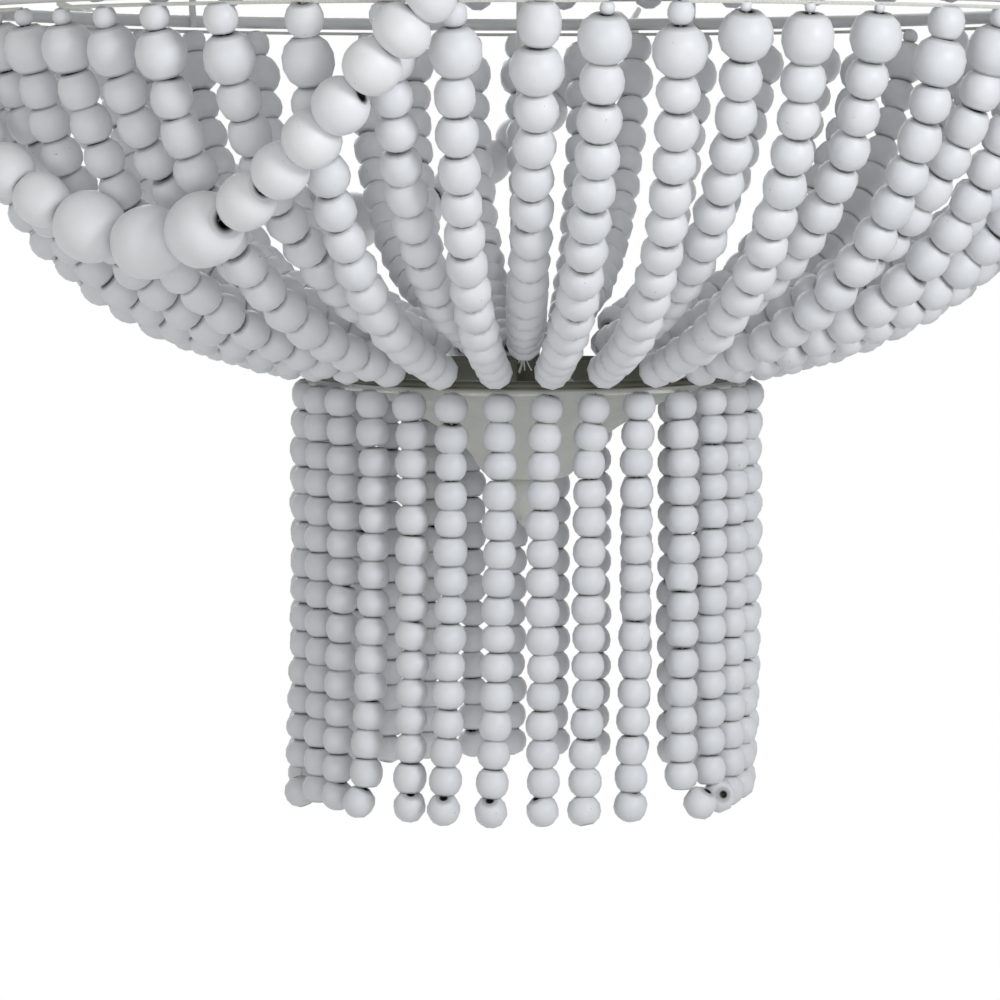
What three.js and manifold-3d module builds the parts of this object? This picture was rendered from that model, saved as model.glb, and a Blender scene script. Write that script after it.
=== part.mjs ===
// A beaded ceiling chandelier as separate pieces, in millimetres, with +Z up.
// The origin is the middle of the crossbar's top face, where the fixture meets the ceiling.
// Angles are counted from the pattern line, which is where one sector of strands meets the next.

import * as THREE from 'three';
import { mergeVertices } from 'three/addons/utils/BufferGeometryUtils.js';
import Module from 'manifold-3d';

const wasm = await Module();
wasm.setup();

// Clearances
const FIT_GAP = 0.3;
const TURNING_GAP = 0.8;
const TIE_GAP = 0.9;
const CUT_OVERRUN = 2;

// Ceiling fitting
const CROSSBAR_END_GAP = 11.5;
const CROSSBAR_WIDTH = 20;
const CROSSBAR_THICK = 3;
const CROSSBAR_HOLE_RADIUS = 2.1;
const CROSSBAR_HOLE_FROM_END = 8;
const NIPPLE_RADIUS = 5;
const CANOPY_RADIUS = 65;
const CANOPY_DEPTH = 28;
const CANOPY_WALL = 1.5;
const CANOPY_SEAT_RADIUS = 16;
const NUT_RADIUS = 10;
const NUT_HEIGHT = 6;
const LOOP_HUB_RADIUS = 8;
const LOOP_HUB_HEIGHT = 14;
const THREAD_DEPTH = 9;

// Loops and chain
const LOOP_RADIUS = 12;
const LOOP_WIRE_RADIUS = 2.5;
const LINK_COUNT = 3;
const LINK_LENGTH = 42;
const LINK_END_RADIUS = 9;
const LINK_WIRE_RADIUS = 2;

// Frame
const STEM_RADIUS = 6;
const STEM_THREAD_RADIUS = 4;
const COLLAR_RADIUS = 10;
const COLLAR_HEIGHT = 6;
const CROWN_RADIUS = 80;
const CROWN_RIM_DEPTH = 9;
const CROWN_WALL = 2;
const CROWN_ABOVE_MAIN_RING = 254;
const MAIN_RING_RADIUS = 292;
const MAIN_RING_WIRE_RADIUS = 3.5;
const MAIN_RING_ABOVE_LOWER_RING = 183.7;
const LOWER_RING_RADIUS = 112.5;
const LOWER_RING_WIRE_RADIUS = 2;
const SPOKE_REST = 3;
const RIB_WIRE_RADIUS = 2;
const RIB_SETBACK = 14;
const PEG_RADIUS = 2;
const PEG_OVERHANG = 3;
const PEG_RISE = 9;

// Hub below the lower ring
const HUB_INSET = 15.5;
const HUB_RIM_ABOVE_LOWER_RING = 0.3;
const HUB_DEPTH = 54;
const HUB_WALL = 1.6;
const FINIAL_RADIUS = 12.7;
const FINIAL_HEIGHT = 27;
const FINIAL_THREAD_DEPTH = 14;

// Lamps
const LAMP_COUNT = 3;
const LAMP_CIRCLE_RADIUS = 75;
const ARM_WIRE_RADIUS = 4;
const ARM_COLLAR_ABOVE_MAIN_RING = 24;
const ARM_DIP_BELOW_PAN = 38;
const PAN_RADIUS = 24;
const PAN_THICK = 2;
const PAN_RIM_HEIGHT = 2.5;
const PAN_ABOVE_COLLAR = 8;
const SOCKET_RADIUS = 10;
const SOCKET_HEIGHT = 34;
const SLEEVE_WALL = 1.5;
const SLEEVE_HEIGHT = 42;
const BULB_RADIUS = 17.5;
const BULB_LENGTH = 62;
const BULB_BASE_RADIUS = 6.5;
const BULB_BASE_LENGTH = 18;

// Strands of beads
const SECTOR_COUNT = 6;
const TIE_WIRE_RADIUS = 1.4;
const BASKET_BEAD_RADIUS = 10;
const BASKET_LAST_BEAD_RADIUS = 8.6;
const BASKET_TOP_BEAD_RADIUS = 12.25;
const OUTER_END_OUTSET = 9;
const OUTER_END_HEIGHT = 5.2;
const INNER_END_INSET = 13.5;
const INNER_END_HEIGHT = 11.7;
const TENT_STRANDS_PER_SECTOR = 6;
const TENT_TOP_BEAD_RADIUS = 5.5;
const TENT_BEAD_RADIUS = 9;
const TENT_START_ABOVE_RING = 14;
const TENT_TOP_GAP = 1.5;
const FRINGE_GROUP_COUNT = 10;
const FRINGE_STRANDS_PER_GROUP = 3;
const FRINGE_BEADS_PER_STRAND = 15;
const FRINGE_BEAD_RADIUS = 8.2;
const FRINGE_BEAD_LENGTH = 14.1;
const SWAG_COUNT = 3;
const SWAG_BIG_BEADS = 3;
const SWAG_BIG_BEAD_RADIUS = 17;
const SWAG_SMALL_BEADS_PER_SIDE = 7;
const SWAG_SMALL_BEAD_RADIUS = 13;
const SWAG_BIG_BEAD_LENGTH = 34.6;
const SWAG_SMALL_BEAD_LENGTH = 24;
const SWAG_LOWEST_ABOVE_LOWER_RING = 71.4;
const SWAG_END_ABOVE_MAIN_RING = 4.4;

// Facets
const ROUND_SIDES = 18;
const SMALL_SIDES = 8;
const WIRE_SIDES = 5;
const RIB_SIDES = 4;
const STRAND_SIDES = 4;
const SWAG_SIDES = 5;
const MAIN_RING_STEPS = 36;
const LOWER_RING_STEPS = 30;
const LOOP_STEPS = 12;
const RIB_STEPS = 14;
const ARM_STEPS = 8;
const SPOKE_STEPS = 4;
const TOP_TIE_STEPS = 4;
const FRINGE_TIE_STEPS = 2;

// Turns about the vertical, from the pattern line, and shapes written as shares
const patternTurn = THREE.MathUtils.degToRad(-79.5);
const sectorTurn = 2 * Math.PI / SECTOR_COUNT;
const swagTurn = THREE.MathUtils.degToRad(-49.5);
const pegTurn = THREE.MathUtils.degToRad(33);
const swagHalfTurn = THREE.MathUtils.degToRad(32);
const beadNeckShare = 0.5;
const loopCrestShare = 0.6;
const nutEdgeShare = 0.25;
const swagShoulderPlaceShares = [0.28, 0.72];
const hubOutlineShares = [[1, 0], [0.895, 0.2], [0.705, 0.28], [0.337, 0.685], [0.246, 0.963], [0.2, 1]];
const finialOutlineShares = [[0.7, 0], [1, 0.24], [0.95, 0.46], [0.34, 0.74], [0.44, 0.86], [0, 1]];
const canopyOutlineShares = [[1, 0], [1, 0.14], [0.93, 0.4], [0.72, 0.68], [0.46, 0.88]];
const bulbOutlineShares = [[0.5, 0], [0.9, 0.16], [1, 0.34], [0.72, 0.66], [0.3, 0.9]];
const ribTentShares = [0.85, 0.65, 0.45, 0.25];
const basketPlaceShares = [0, 0.28, 0.52, 0.72, 0.84];
const topBeadPlaceShare = 0.9;
const basketTopShares = [0.037, 0.135, 0.235, 0.355, 0.49, 0.615, 0.712, 0.835, 0.931];
const tentPlaceShares = [0, 0.3, 0.6, 1];
const basketCurveShares = { radius: [0, 0.152, 0.842, 1], height: [0, 0.06, 0.117, 1] };
const tentCurveShares = { radius: [0, 0.25, 0.92, 1], height: [0, 0.11, 0.42, 1] };

// Heights worked out from the ceiling down
const nippleLength = CANOPY_DEPTH + FIT_GAP + NUT_HEIGHT + FIT_GAP + THREAD_DEPTH;
const nutTop = -CANOPY_DEPTH - FIT_GAP;
const loopHubTop = nutTop - NUT_HEIGHT - FIT_GAP;
const hangingLoopZ = loopHubTop - LOOP_HUB_HEIGHT - LOOP_RADIUS;
const linkPitch = LINK_LENGTH - LINK_WIRE_RADIUS * 2 - FIT_GAP;
const firstWireZ = hangingLoopZ - LOOP_RADIUS;
const firstLinkTop = firstWireZ + LOOP_WIRE_RADIUS + LINK_WIRE_RADIUS + FIT_GAP;
const lastWireZ = firstLinkTop - LINK_LENGTH - linkPitch * (LINK_COUNT - 1);
const topLoopZ = lastWireZ + LINK_WIRE_RADIUS + LOOP_WIRE_RADIUS + FIT_GAP - LOOP_RADIUS;
const topHubZ = topLoopZ - LOOP_RADIUS;
const crownTop = topHubZ - LOOP_HUB_HEIGHT - FIT_GAP;
const mainRingZ = crownTop - CROWN_ABOVE_MAIN_RING;
const lowerRingZ = mainRingZ - MAIN_RING_ABOVE_LOWER_RING;
const hubRadius = LOWER_RING_RADIUS - LOWER_RING_WIRE_RADIUS - HUB_INSET;
const hubRimZ = lowerRingZ + HUB_RIM_ABOVE_LOWER_RING;
const hubBottomZ = hubRimZ - HUB_DEPTH;
const finialTop = hubBottomZ - FIT_GAP;
const stemBottom = finialTop - FINIAL_THREAD_DEPTH;
const stemTop = topHubZ - LOOP_HUB_HEIGHT + THREAD_DEPTH;
const armCollarZ = mainRingZ + ARM_COLLAR_ABOVE_MAIN_RING;
const panZ = armCollarZ + PAN_ABOVE_COLLAR;
const socketZ = panZ + PAN_THICK + FIT_GAP;
const sleeveTop = socketZ + SLEEVE_HEIGHT;
const glassZ = sleeveTop + FIT_GAP;
const bulbBaseZ = glassZ - BULB_BASE_LENGTH;
const basketTieZ = mainRingZ - MAIN_RING_WIRE_RADIUS - TIE_GAP - TIE_WIRE_RADIUS;
const tentTieZ = mainRingZ + TENT_START_ABOVE_RING;
const tentTopZ = crownTop - CROWN_RIM_DEPTH - FIT_GAP;
const fringeTieZ = lowerRingZ - LOWER_RING_WIRE_RADIUS - TIE_GAP - TIE_WIRE_RADIUS;
const fringeTop = fringeTieZ + TIE_WIRE_RADIUS;
const fringeLength = FRINGE_BEAD_LENGTH * FRINGE_BEADS_PER_STRAND;
const swagLowestZ = lowerRingZ + SWAG_LOWEST_ABOVE_LOWER_RING;
const swagRise = mainRingZ + SWAG_END_ABOVE_MAIN_RING - swagLowestZ;

// Materials
const whitePaint = new THREE.MeshStandardMaterial({ color: 0xe4e4e2, roughness: 0.45, metalness: 0 });
const beadPaint = new THREE.MeshStandardMaterial({ color: 0xd5d7dc, roughness: 0.5, metalness: 0 });
const hubPaint = new THREE.MeshStandardMaterial({ color: 0xc4c6c2, roughness: 0.5, metalness: 0 });
const bareSteel = new THREE.MeshStandardMaterial({ color: 0xa8abad, roughness: 0.35, metalness: 1 });
const socketPlastic = new THREE.MeshStandardMaterial({ color: 0xf0eee8, roughness: 0.4, metalness: 0 });
const sleevePaper = new THREE.MeshStandardMaterial({ color: 0xf2efe6, roughness: 0.7, metalness: 0 });
const bulbGlass = new THREE.MeshStandardMaterial({ color: 0xf6f4ee, roughness: 0.15, metalness: 0 });

// Solids

function toSolid(geometry) {
  const bare = geometry.clone();
  bare.deleteAttribute('normal');
  bare.deleteAttribute('uv');
  const welded = mergeVertices(bare);
  return new wasm.Manifold(new wasm.Mesh({
    numProp: 3,
    vertProperties: new Float32Array(welded.attributes.position.array),
    triVerts: new Uint32Array(welded.index.array),
  }));
}

function toGeometry(solid) {
  const mesh = solid.getMesh();
  const geometry = new THREE.BufferGeometry();
  const places = mesh.vertProperties.filter((value, at) => at % mesh.numProp < 3);
  geometry.setAttribute('position', new THREE.BufferAttribute(places, 3));
  geometry.setIndex(new THREE.BufferAttribute(mesh.triVerts, 1));
  geometry.computeVertexNormals();
  return geometry;
}

function join(geometries) {
  return toGeometry(geometries.map(toSolid).reduce((whole, next) => whole.add(next)));
}

function cut(geometry, cutters) {
  return toGeometry(cutters.map(toSolid).reduce((whole, next) => whole.subtract(next), toSolid(geometry)));
}

// Turns an outline of [radius, height] points about +Z. The outline runs upwards on its outer side.
function turned(outline, sides) {
  const points = outline.map(([radius, height]) => new THREE.Vector2(radius, height));
  return new THREE.LatheGeometry(points, sides).rotateX(Math.PI / 2);
}

function tubeOutline(radius, bore, low, high) {
  return [[bore, low], [radius, low], [radius, high], [bore, high], [bore, low]];
}

function regularShape(radius, sides) {
  const corners = Array.from({ length: sides }, (_, corner) => {
    const angle = 2 * Math.PI * (corner + 0.5) / sides;
    return new THREE.Vector2(radius * Math.cos(angle), radius * Math.sin(angle));
  });
  return new THREE.Shape(corners);
}

function tube(curve, radius, sides, steps) {
  const settings = { steps, extrudePath: curve, bevelEnabled: false };
  return new THREE.ExtrudeGeometry(regularShape(radius, sides), settings);
}

function pointAround(turn, radius, height) {
  return new THREE.Vector3(radius * Math.cos(turn), radius * Math.sin(turn), height);
}

// Part of a level circle about the Z axis.
class LevelArc extends THREE.Curve {
  constructor(radius, height, from, to) {
    super();
    Object.assign(this, { radius, height, from, to });
  }

  getPoint(share) {
    return pointAround(THREE.MathUtils.lerp(this.from, this.to, share), this.radius, this.height);
  }
}

// A cubic curve between two heights, given by shares of its reach, that may also turn about Z as it rises.
class RisingCurve extends THREE.Curve {
  constructor(start, end, shares, startTurn, endTurn) {
    super();
    Object.assign(this, { startTurn, endTurn });
    const corners = shares.radius.map((share, at) => new THREE.Vector3(
      THREE.MathUtils.lerp(start.radius, end.radius, share),
      THREE.MathUtils.lerp(start.height, end.height, shares.height[at]),
      0,
    ));
    this.profile = new THREE.CubicBezierCurve3(...corners);
  }

  getPoint(share) {
    const place = this.profile.getPoint(share);
    return pointAround(THREE.MathUtils.lerp(this.startTurn, this.endTurn, share), place.x, place.y);
  }
}

// A straight turned shape of [radius, place along it] points is laid along a curve, end to end.
function laidAlong(outline, sides, curve) {
  const points = outline.map(([radius, along]) => new THREE.Vector2(radius, along));
  const geometry = new THREE.LatheGeometry(points, sides, Math.PI / sides);
  const places = geometry.attributes.position;
  const length = outline.at(-1)[1];
  for (let at = 0; at < places.count; at += 1) {
    const share = THREE.MathUtils.clamp(places.getY(at) / length, 0, 1);
    const middle = curve.getPointAt(share);
    const along = curve.getTangentAt(share);
    const outward = new THREE.Vector3(middle.x, middle.y, 0).normalize();
    const across = outward.addScaledVector(along, -outward.dot(along)).normalize();
    const beside = across.clone().cross(along);
    middle.addScaledVector(across, places.getX(at)).addScaledVector(beside, places.getZ(at));
    places.setXYZ(at, middle.x, middle.y, middle.z);
  }
  return geometry;
}

// Ceiling fitting

function ceilingCrossbar() {
  const crossbarLength = (CANOPY_RADIUS - CANOPY_WALL - CROSSBAR_END_GAP) * 2;
  const bar = new THREE.BoxGeometry(crossbarLength, CROSSBAR_WIDTH, CROSSBAR_THICK);
  bar.translate(0, 0, -CROSSBAR_THICK / 2);
  const low = -CROSSBAR_THICK - CUT_OVERRUN;
  const high = CUT_OVERRUN;
  const holePlace = crossbarLength / 2 - CROSSBAR_HOLE_FROM_END;
  const holes = [-1, 1].map((side) => {
    const outline = [[0, low], [CROSSBAR_HOLE_RADIUS, low], [CROSSBAR_HOLE_RADIUS, high], [0, high]];
    return turned(outline, SMALL_SIDES).translate(side * holePlace, 0, 0);
  });
  const nipple = turned([[0, -nippleLength], [NIPPLE_RADIUS, -nippleLength],
    [NIPPLE_RADIUS, -CROSSBAR_THICK / 2], [0, -CROSSBAR_THICK / 2]], SMALL_SIDES);
  return join([cut(bar, holes), nipple]);
}

function ceilingCanopy() {
  const bore = NIPPLE_RADIUS + FIT_GAP;
  const outside = canopyOutlineShares.map(([radius, depth]) => (
    [CANOPY_RADIUS * radius, -CANOPY_DEPTH * depth]));
  const inside = outside.map(([radius, depth]) => [radius - CANOPY_WALL, Math.min(0, depth + CANOPY_WALL)]);
  return turned([
    [bore, -CANOPY_DEPTH], [CANOPY_SEAT_RADIUS, -CANOPY_DEPTH], ...outside.toReversed(), ...inside,
    [CANOPY_SEAT_RADIUS, -CANOPY_DEPTH + CANOPY_WALL], [bore, -CANOPY_DEPTH + CANOPY_WALL],
    [bore, -CANOPY_DEPTH],
  ], ROUND_SIDES);
}

function canopyNut() {
  const edge = NUT_HEIGHT * nutEdgeShare;
  const waist = NUT_RADIUS - edge;
  const bore = NIPPLE_RADIUS + TURNING_GAP;
  const low = nutTop - NUT_HEIGHT;
  return turned([[bore, low], [waist, low], [NUT_RADIUS, low + edge], [NUT_RADIUS, nutTop - edge],
    [waist, nutTop], [bore, nutTop], [bore, low]], SMALL_SIDES);
}

// A ring of round wire that stands upright, in the plane that it is turned to.
function standingRing(height, turn) {
  const ring = new THREE.TorusGeometry(LOOP_RADIUS, LOOP_WIRE_RADIUS, WIRE_SIDES, LOOP_STEPS);
  return ring.rotateX(Math.PI / 2).rotateZ(turn).translate(0, 0, height);
}

function hangingLoop() {
  const low = loopHubTop - LOOP_HUB_HEIGHT;
  const bore = NIPPLE_RADIUS + FIT_GAP;
  const boreEnd = loopHubTop - THREAD_DEPTH - FIT_GAP;
  const crest = low - LOOP_WIRE_RADIUS / 2;
  const hub = turned([[0, crest], [LOOP_HUB_RADIUS * loopCrestShare, crest],
    [LOOP_HUB_RADIUS, low + LOOP_WIRE_RADIUS], [LOOP_HUB_RADIUS, loopHubTop], [bore, loopHubTop],
    [bore, boreEnd], [0, boreEnd]], SMALL_SIDES);
  return join([hub, standingRing(hangingLoopZ, 0)]);
}

function topLoop() {
  const bore = STEM_THREAD_RADIUS + FIT_GAP;
  const low = topHubZ - LOOP_HUB_HEIGHT;
  const boreEnd = stemTop + FIT_GAP;
  const crest = topHubZ + LOOP_WIRE_RADIUS / 2;
  const hub = turned([[0, boreEnd], [bore, boreEnd], [bore, low], [LOOP_HUB_RADIUS, low],
    [LOOP_HUB_RADIUS, topHubZ - LOOP_WIRE_RADIUS], [LOOP_HUB_RADIUS * loopCrestShare, crest],
    [0, crest]], SMALL_SIDES);
  return join([hub, standingRing(topLoopZ, LINK_COUNT % 2 * Math.PI / 2 - Math.PI / 2)]);
}

// A chain link is a wire ring whose upper and lower halves are pulled apart.
function chainLink(index) {
  const link = new THREE.TorusGeometry(LINK_END_RADIUS, LINK_WIRE_RADIUS, WIRE_SIDES, LOOP_STEPS);
  link.rotateZ(Math.PI / LOOP_STEPS).rotateX(Math.PI / 2);
  const places = link.attributes.position;
  const pull = LINK_LENGTH / 2 - LINK_END_RADIUS;
  for (let at = 0; at < places.count; at += 1) {
    places.setZ(at, places.getZ(at) + Math.sign(places.getZ(at)) * pull);
  }
  const turn = index % 2 ? 0 : Math.PI / 2;
  return link.rotateZ(turn).translate(0, 0, firstLinkTop - LINK_LENGTH / 2 - linkPitch * index);
}

// Frame

const crownUnder = crownTop - CROWN_WALL;

function centerStem() {
  const seat = hubBottomZ + HUB_WALL + FIT_GAP;
  const armLow = armCollarZ - COLLAR_HEIGHT / 2;
  const crownSeat = crownUnder - FIT_GAP;
  const collar = (low, high) => [[STEM_RADIUS, low - STEM_RADIUS / 2], [COLLAR_RADIUS, low],
    [COLLAR_RADIUS, high], [STEM_RADIUS, high + STEM_RADIUS / 2]];
  return turned([
    [0, stemBottom], [STEM_THREAD_RADIUS, stemBottom], [STEM_THREAD_RADIUS, seat],
    [COLLAR_RADIUS, seat], [COLLAR_RADIUS, seat + COLLAR_HEIGHT], [STEM_RADIUS, seat + COLLAR_HEIGHT],
    ...collar(armLow, armLow + COLLAR_HEIGHT),
    [STEM_RADIUS, crownSeat - COLLAR_HEIGHT], [COLLAR_RADIUS, crownSeat - COLLAR_HEIGHT],
    [COLLAR_RADIUS, crownSeat], [STEM_THREAD_RADIUS, crownSeat], [STEM_THREAD_RADIUS, stemTop],
    [0, stemTop],
  ], SMALL_SIDES);
}

function crownPlate() {
  const bore = STEM_THREAD_RADIUS + FIT_GAP;
  const flat = CROWN_RADIUS - CROWN_RIM_DEPTH;
  const rim = crownTop - CROWN_RIM_DEPTH;
  return turned([
    [bore, crownUnder], [flat, crownUnder], [CROWN_RADIUS - CROWN_WALL, crownUnder - CROWN_RIM_DEPTH / 2],
    [CROWN_RADIUS - CROWN_WALL, rim], [CROWN_RADIUS, rim], [CROWN_RADIUS, crownTop - CROWN_RIM_DEPTH / 2],
    [flat, crownTop], [bore, crownTop], [bore, crownUnder],
  ], ROUND_SIDES);
}

const basketStart = {
  radius: LOWER_RING_RADIUS + OUTER_END_OUTSET,
  height: lowerRingZ + OUTER_END_HEIGHT,
};
const basketInnerStart = {
  radius: LOWER_RING_RADIUS - INNER_END_INSET,
  height: lowerRingZ + INNER_END_HEIGHT,
};
const basketEnd = { radius: MAIN_RING_RADIUS, height: basketTieZ };
const tentStart = { radius: MAIN_RING_RADIUS, height: tentTieZ };
const tentTopRadius = CROWN_RADIUS - CROWN_WALL - TENT_TOP_BEAD_RADIUS - TENT_TOP_GAP;
const tentEnd = { radius: tentTopRadius, height: tentTopZ };
const basketCurve = new RisingCurve(basketStart, basketEnd, basketCurveShares, 0, 0);
const tentCurve = new RisingCurve(tentStart, tentEnd, tentCurveShares, 0, 0);

// A point beside a curve's profile, on its left for a positive distance.
function besideProfile(curve, share, distance) {
  const place = curve.profile.getPoint(share);
  const along = curve.profile.getTangent(share);
  return { radius: place.x - along.y * distance, height: place.y + along.x * distance };
}

const swagDistance = BASKET_BEAD_RADIUS * Math.SQRT1_2 + SWAG_BIG_BEAD_RADIUS + FIT_GAP;

// How far from the axis a swag lies at a height, resting on the outside of the basket.
function swagRadiusAt(height) {
  let low = 0;
  let high = 1;
  for (let halving = 0; halving < 30; halving += 1) {
    const share = (low + high) / 2;
    if (besideProfile(basketCurve, share, -swagDistance).height < height) low = share;
    else high = share;
  }
  return besideProfile(basketCurve, low, -swagDistance).radius;
}

// A swag rises from its lowest bead with the square of its turn, drawn round the outside of the basket.
class SwagCurve extends THREE.Curve {
  constructor(middleTurn) {
    super();
    this.middleTurn = middleTurn;
  }

  getPoint(share) {
    const turn = THREE.MathUtils.lerp(-swagHalfTurn, swagHalfTurn, share);
    const height = swagLowestZ + swagRise * (turn / swagHalfTurn) ** 2;
    return pointAround(this.middleTurn + turn, swagRadiusAt(height), height);
  }
}

const swagMiddleTurns = Array.from({ length: SWAG_COUNT }, (_, index) => (
  patternTurn + swagTurn + 2 * Math.PI * index / SWAG_COUNT));
const swagEnd = new SwagCurve(0).getPoint(1);
const pegTipRadius = Math.hypot(swagEnd.x, swagEnd.y) + PEG_OVERHANG;

function mainRing() {
  const wire = MAIN_RING_WIRE_RADIUS;
  const ring = new THREE.TorusGeometry(MAIN_RING_RADIUS, wire, WIRE_SIDES, MAIN_RING_STEPS);
  ring.translate(0, 0, mainRingZ);
  const pegs = swagMiddleTurns.flatMap((middle) => [-pegTurn, pegTurn].map((side) => {
    const root = pointAround(middle + side, MAIN_RING_RADIUS, mainRingZ);
    const tip = pointAround(middle + side, pegTipRadius, mainRingZ + PEG_RISE);
    return tube(new THREE.LineCurve3(root, tip), PEG_RADIUS, WIRE_SIDES, 1);
  }));
  return join([ring, ...pegs]);
}

// Short spokes carry the lower ring on the hub's rim.
function lowerRing() {
  const wire = LOWER_RING_WIRE_RADIUS;
  const ring = new THREE.TorusGeometry(LOWER_RING_RADIUS, wire, WIRE_SIDES, LOWER_RING_STEPS);
  ring.translate(0, 0, lowerRingZ);
  const spokeZ = hubRimZ + FIT_GAP + wire;
  const spokes = Array.from({ length: SECTOR_COUNT }, (_, index) => {
    const turn = patternTurn + sectorTurn * index;
    return tube(new THREE.CatmullRomCurve3([
      pointAround(turn, hubRadius - SPOKE_REST, spokeZ),
      pointAround(turn, hubRadius, spokeZ),
      pointAround(turn, LOWER_RING_RADIUS, lowerRingZ),
    ]), wire, WIRE_SIDES, SPOKE_STEPS);
  });
  return join([ring, ...spokes]);
}

// A rib runs inside the strands, from the crown down to the main ring.
function frameRib(index) {
  const turn = patternTurn + sectorTurn * (index + 0.5);
  const crownEnd = besideProfile(tentCurve, 1, RIB_SETBACK);
  const ringRadius = MAIN_RING_RADIUS - MAIN_RING_WIRE_RADIUS - FIT_GAP - RIB_WIRE_RADIUS;
  const stops = [
    { radius: crownEnd.radius, height: crownUnder - FIT_GAP },
    { radius: crownEnd.radius, height: crownUnder - FIT_GAP - RIB_SETBACK },
    ...ribTentShares.map((share) => besideProfile(tentCurve, share, RIB_SETBACK)),
    { radius: ringRadius, height: mainRingZ + RIB_SETBACK },
    { radius: ringRadius, height: mainRingZ - MAIN_RING_WIRE_RADIUS },
  ];
  const places = stops.map(({ radius, height }) => pointAround(turn, radius, height));
  const path = new THREE.CatmullRomCurve3(places, false, 'centripetal');
  return tube(path, RIB_WIRE_RADIUS, RIB_SIDES, RIB_STEPS);
}

// Hub and finial

function hubCup() {
  const bore = STEM_THREAD_RADIUS + FIT_GAP;
  const outside = hubOutlineShares.map(([radius, depth]) => (
    [hubRadius * radius, hubRimZ - HUB_DEPTH * depth]));
  const inside = outside.slice(1, -1).map(([radius, height]) => [radius - HUB_WALL, height + HUB_WALL]);
  return turned([
    [bore, hubBottomZ], ...outside.toReversed(), [hubRadius - HUB_WALL, hubRimZ], ...inside,
    [outside.at(-1)[0] - HUB_WALL, hubBottomZ + HUB_WALL], [bore, hubBottomZ + HUB_WALL],
    [bore, hubBottomZ],
  ], ROUND_SIDES);
}

function hubFinial() {
  const bore = STEM_THREAD_RADIUS + TURNING_GAP;
  const outside = finialOutlineShares.map(([radius, depth]) => (
    [FINIAL_RADIUS * radius, finialTop - FINIAL_HEIGHT * depth]));
  const boreEnd = stemBottom - FIT_GAP;
  return turned([...outside.toReversed(), [bore, finialTop], [bore, boreEnd], [0, boreEnd]], SMALL_SIDES);
}

// Lamps

function lampArm(turn) {
  const inner = COLLAR_RADIUS + FIT_GAP;
  return tube(new THREE.CubicBezierCurve3(
    pointAround(turn, inner, armCollarZ),
    pointAround(turn, (inner + LAMP_CIRCLE_RADIUS) / 2, armCollarZ),
    pointAround(turn, LAMP_CIRCLE_RADIUS, panZ - ARM_DIP_BELOW_PAN),
    pointAround(turn, LAMP_CIRCLE_RADIUS, panZ - FIT_GAP),
  ), ARM_WIRE_RADIUS, WIRE_SIDES, ARM_STEPS);
}

function dripPan() {
  const rim = PAN_RADIUS - PAN_RIM_HEIGHT;
  return turned([[0, 0], [rim, 0], [PAN_RADIUS, PAN_RIM_HEIGHT], [PAN_RADIUS, PAN_RIM_HEIGHT + PAN_THICK],
    [rim, PAN_THICK], [0, PAN_THICK]], SMALL_SIDES).translate(0, 0, panZ);
}

function lampSocket() {
  const bore = BULB_BASE_RADIUS + FIT_GAP;
  const boreEnd = bulbBaseZ - FIT_GAP;
  const top = socketZ + SOCKET_HEIGHT;
  return turned([[0, socketZ], [SOCKET_RADIUS, socketZ], [SOCKET_RADIUS, top], [bore, top],
    [bore, boreEnd], [0, boreEnd]], SMALL_SIDES);
}

function candleSleeve() {
  const bore = SOCKET_RADIUS + FIT_GAP;
  return turned(tubeOutline(bore + SLEEVE_WALL, bore, socketZ, sleeveTop), SMALL_SIDES);
}

function lampBulb() {
  const glass = bulbOutlineShares.map(([radius, height]) => (
    [BULB_RADIUS * radius, glassZ + BULB_LENGTH * height]));
  return turned([[0, bulbBaseZ], [BULB_BASE_RADIUS, bulbBaseZ], [BULB_BASE_RADIUS, glassZ], ...glass,
    [0, glassZ + BULB_LENGTH]], SMALL_SIDES);
}

// Strands of beads

function tieWire(radius, height, turns, steps) {
  return tube(new LevelArc(radius, height, turns[0], turns.at(-1)), TIE_WIRE_RADIUS, STRAND_SIDES, steps);
}

function basketStrand(endTurn, topTurn, from) {
  const curve = new RisingCurve(from, basketEnd, basketCurveShares, endTurn, topTurn);
  const plain = basketPlaceShares.map((share, at) => (
    [at < 2 ? BASKET_LAST_BEAD_RADIUS : BASKET_BEAD_RADIUS, share]));
  const neck = BASKET_BEAD_RADIUS * beadNeckShare;
  return laidAlong([
    [0, 0], ...plain, [BASKET_TOP_BEAD_RADIUS, topBeadPlaceShare], [neck, 1], [0, 1],
  ], STRAND_SIDES, curve);
}

// The odd strands of a sector end further in, over the lower ring, between the even ones.
function basketStrands(sector) {
  const start = patternTurn + sectorTurn * sector;
  const endStep = sectorTurn / (basketTopShares.length + 1);
  const topTurns = basketTopShares.map((share) => start + sectorTurn * share);
  const strands = topTurns.map((topTurn, index) => (
    basketStrand(start + endStep * (index + 1), topTurn, index % 2 ? basketInnerStart : basketStart)));
  return join([tieWire(MAIN_RING_RADIUS, basketTieZ, topTurns, TOP_TIE_STEPS), ...strands]);
}

function tentStrands(sector) {
  const turns = Array.from({ length: TENT_STRANDS_PER_SECTOR }, (_, index) => (
    patternTurn + sectorTurn * (sector + (index + 0.5) / TENT_STRANDS_PER_SECTOR)));
  const outline = [[0, 0], ...tentPlaceShares.map((share) => (
    [THREE.MathUtils.lerp(TENT_BEAD_RADIUS, TENT_TOP_BEAD_RADIUS, share), share])), [0, 1]];
  const strands = turns.map((turn) => (
    laidAlong(outline, STRAND_SIDES, new RisingCurve(tentStart, tentEnd, tentCurveShares, turn, turn))));
  return join([tieWire(MAIN_RING_RADIUS, tentTieZ, turns, TOP_TIE_STEPS), ...strands]);
}

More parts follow.
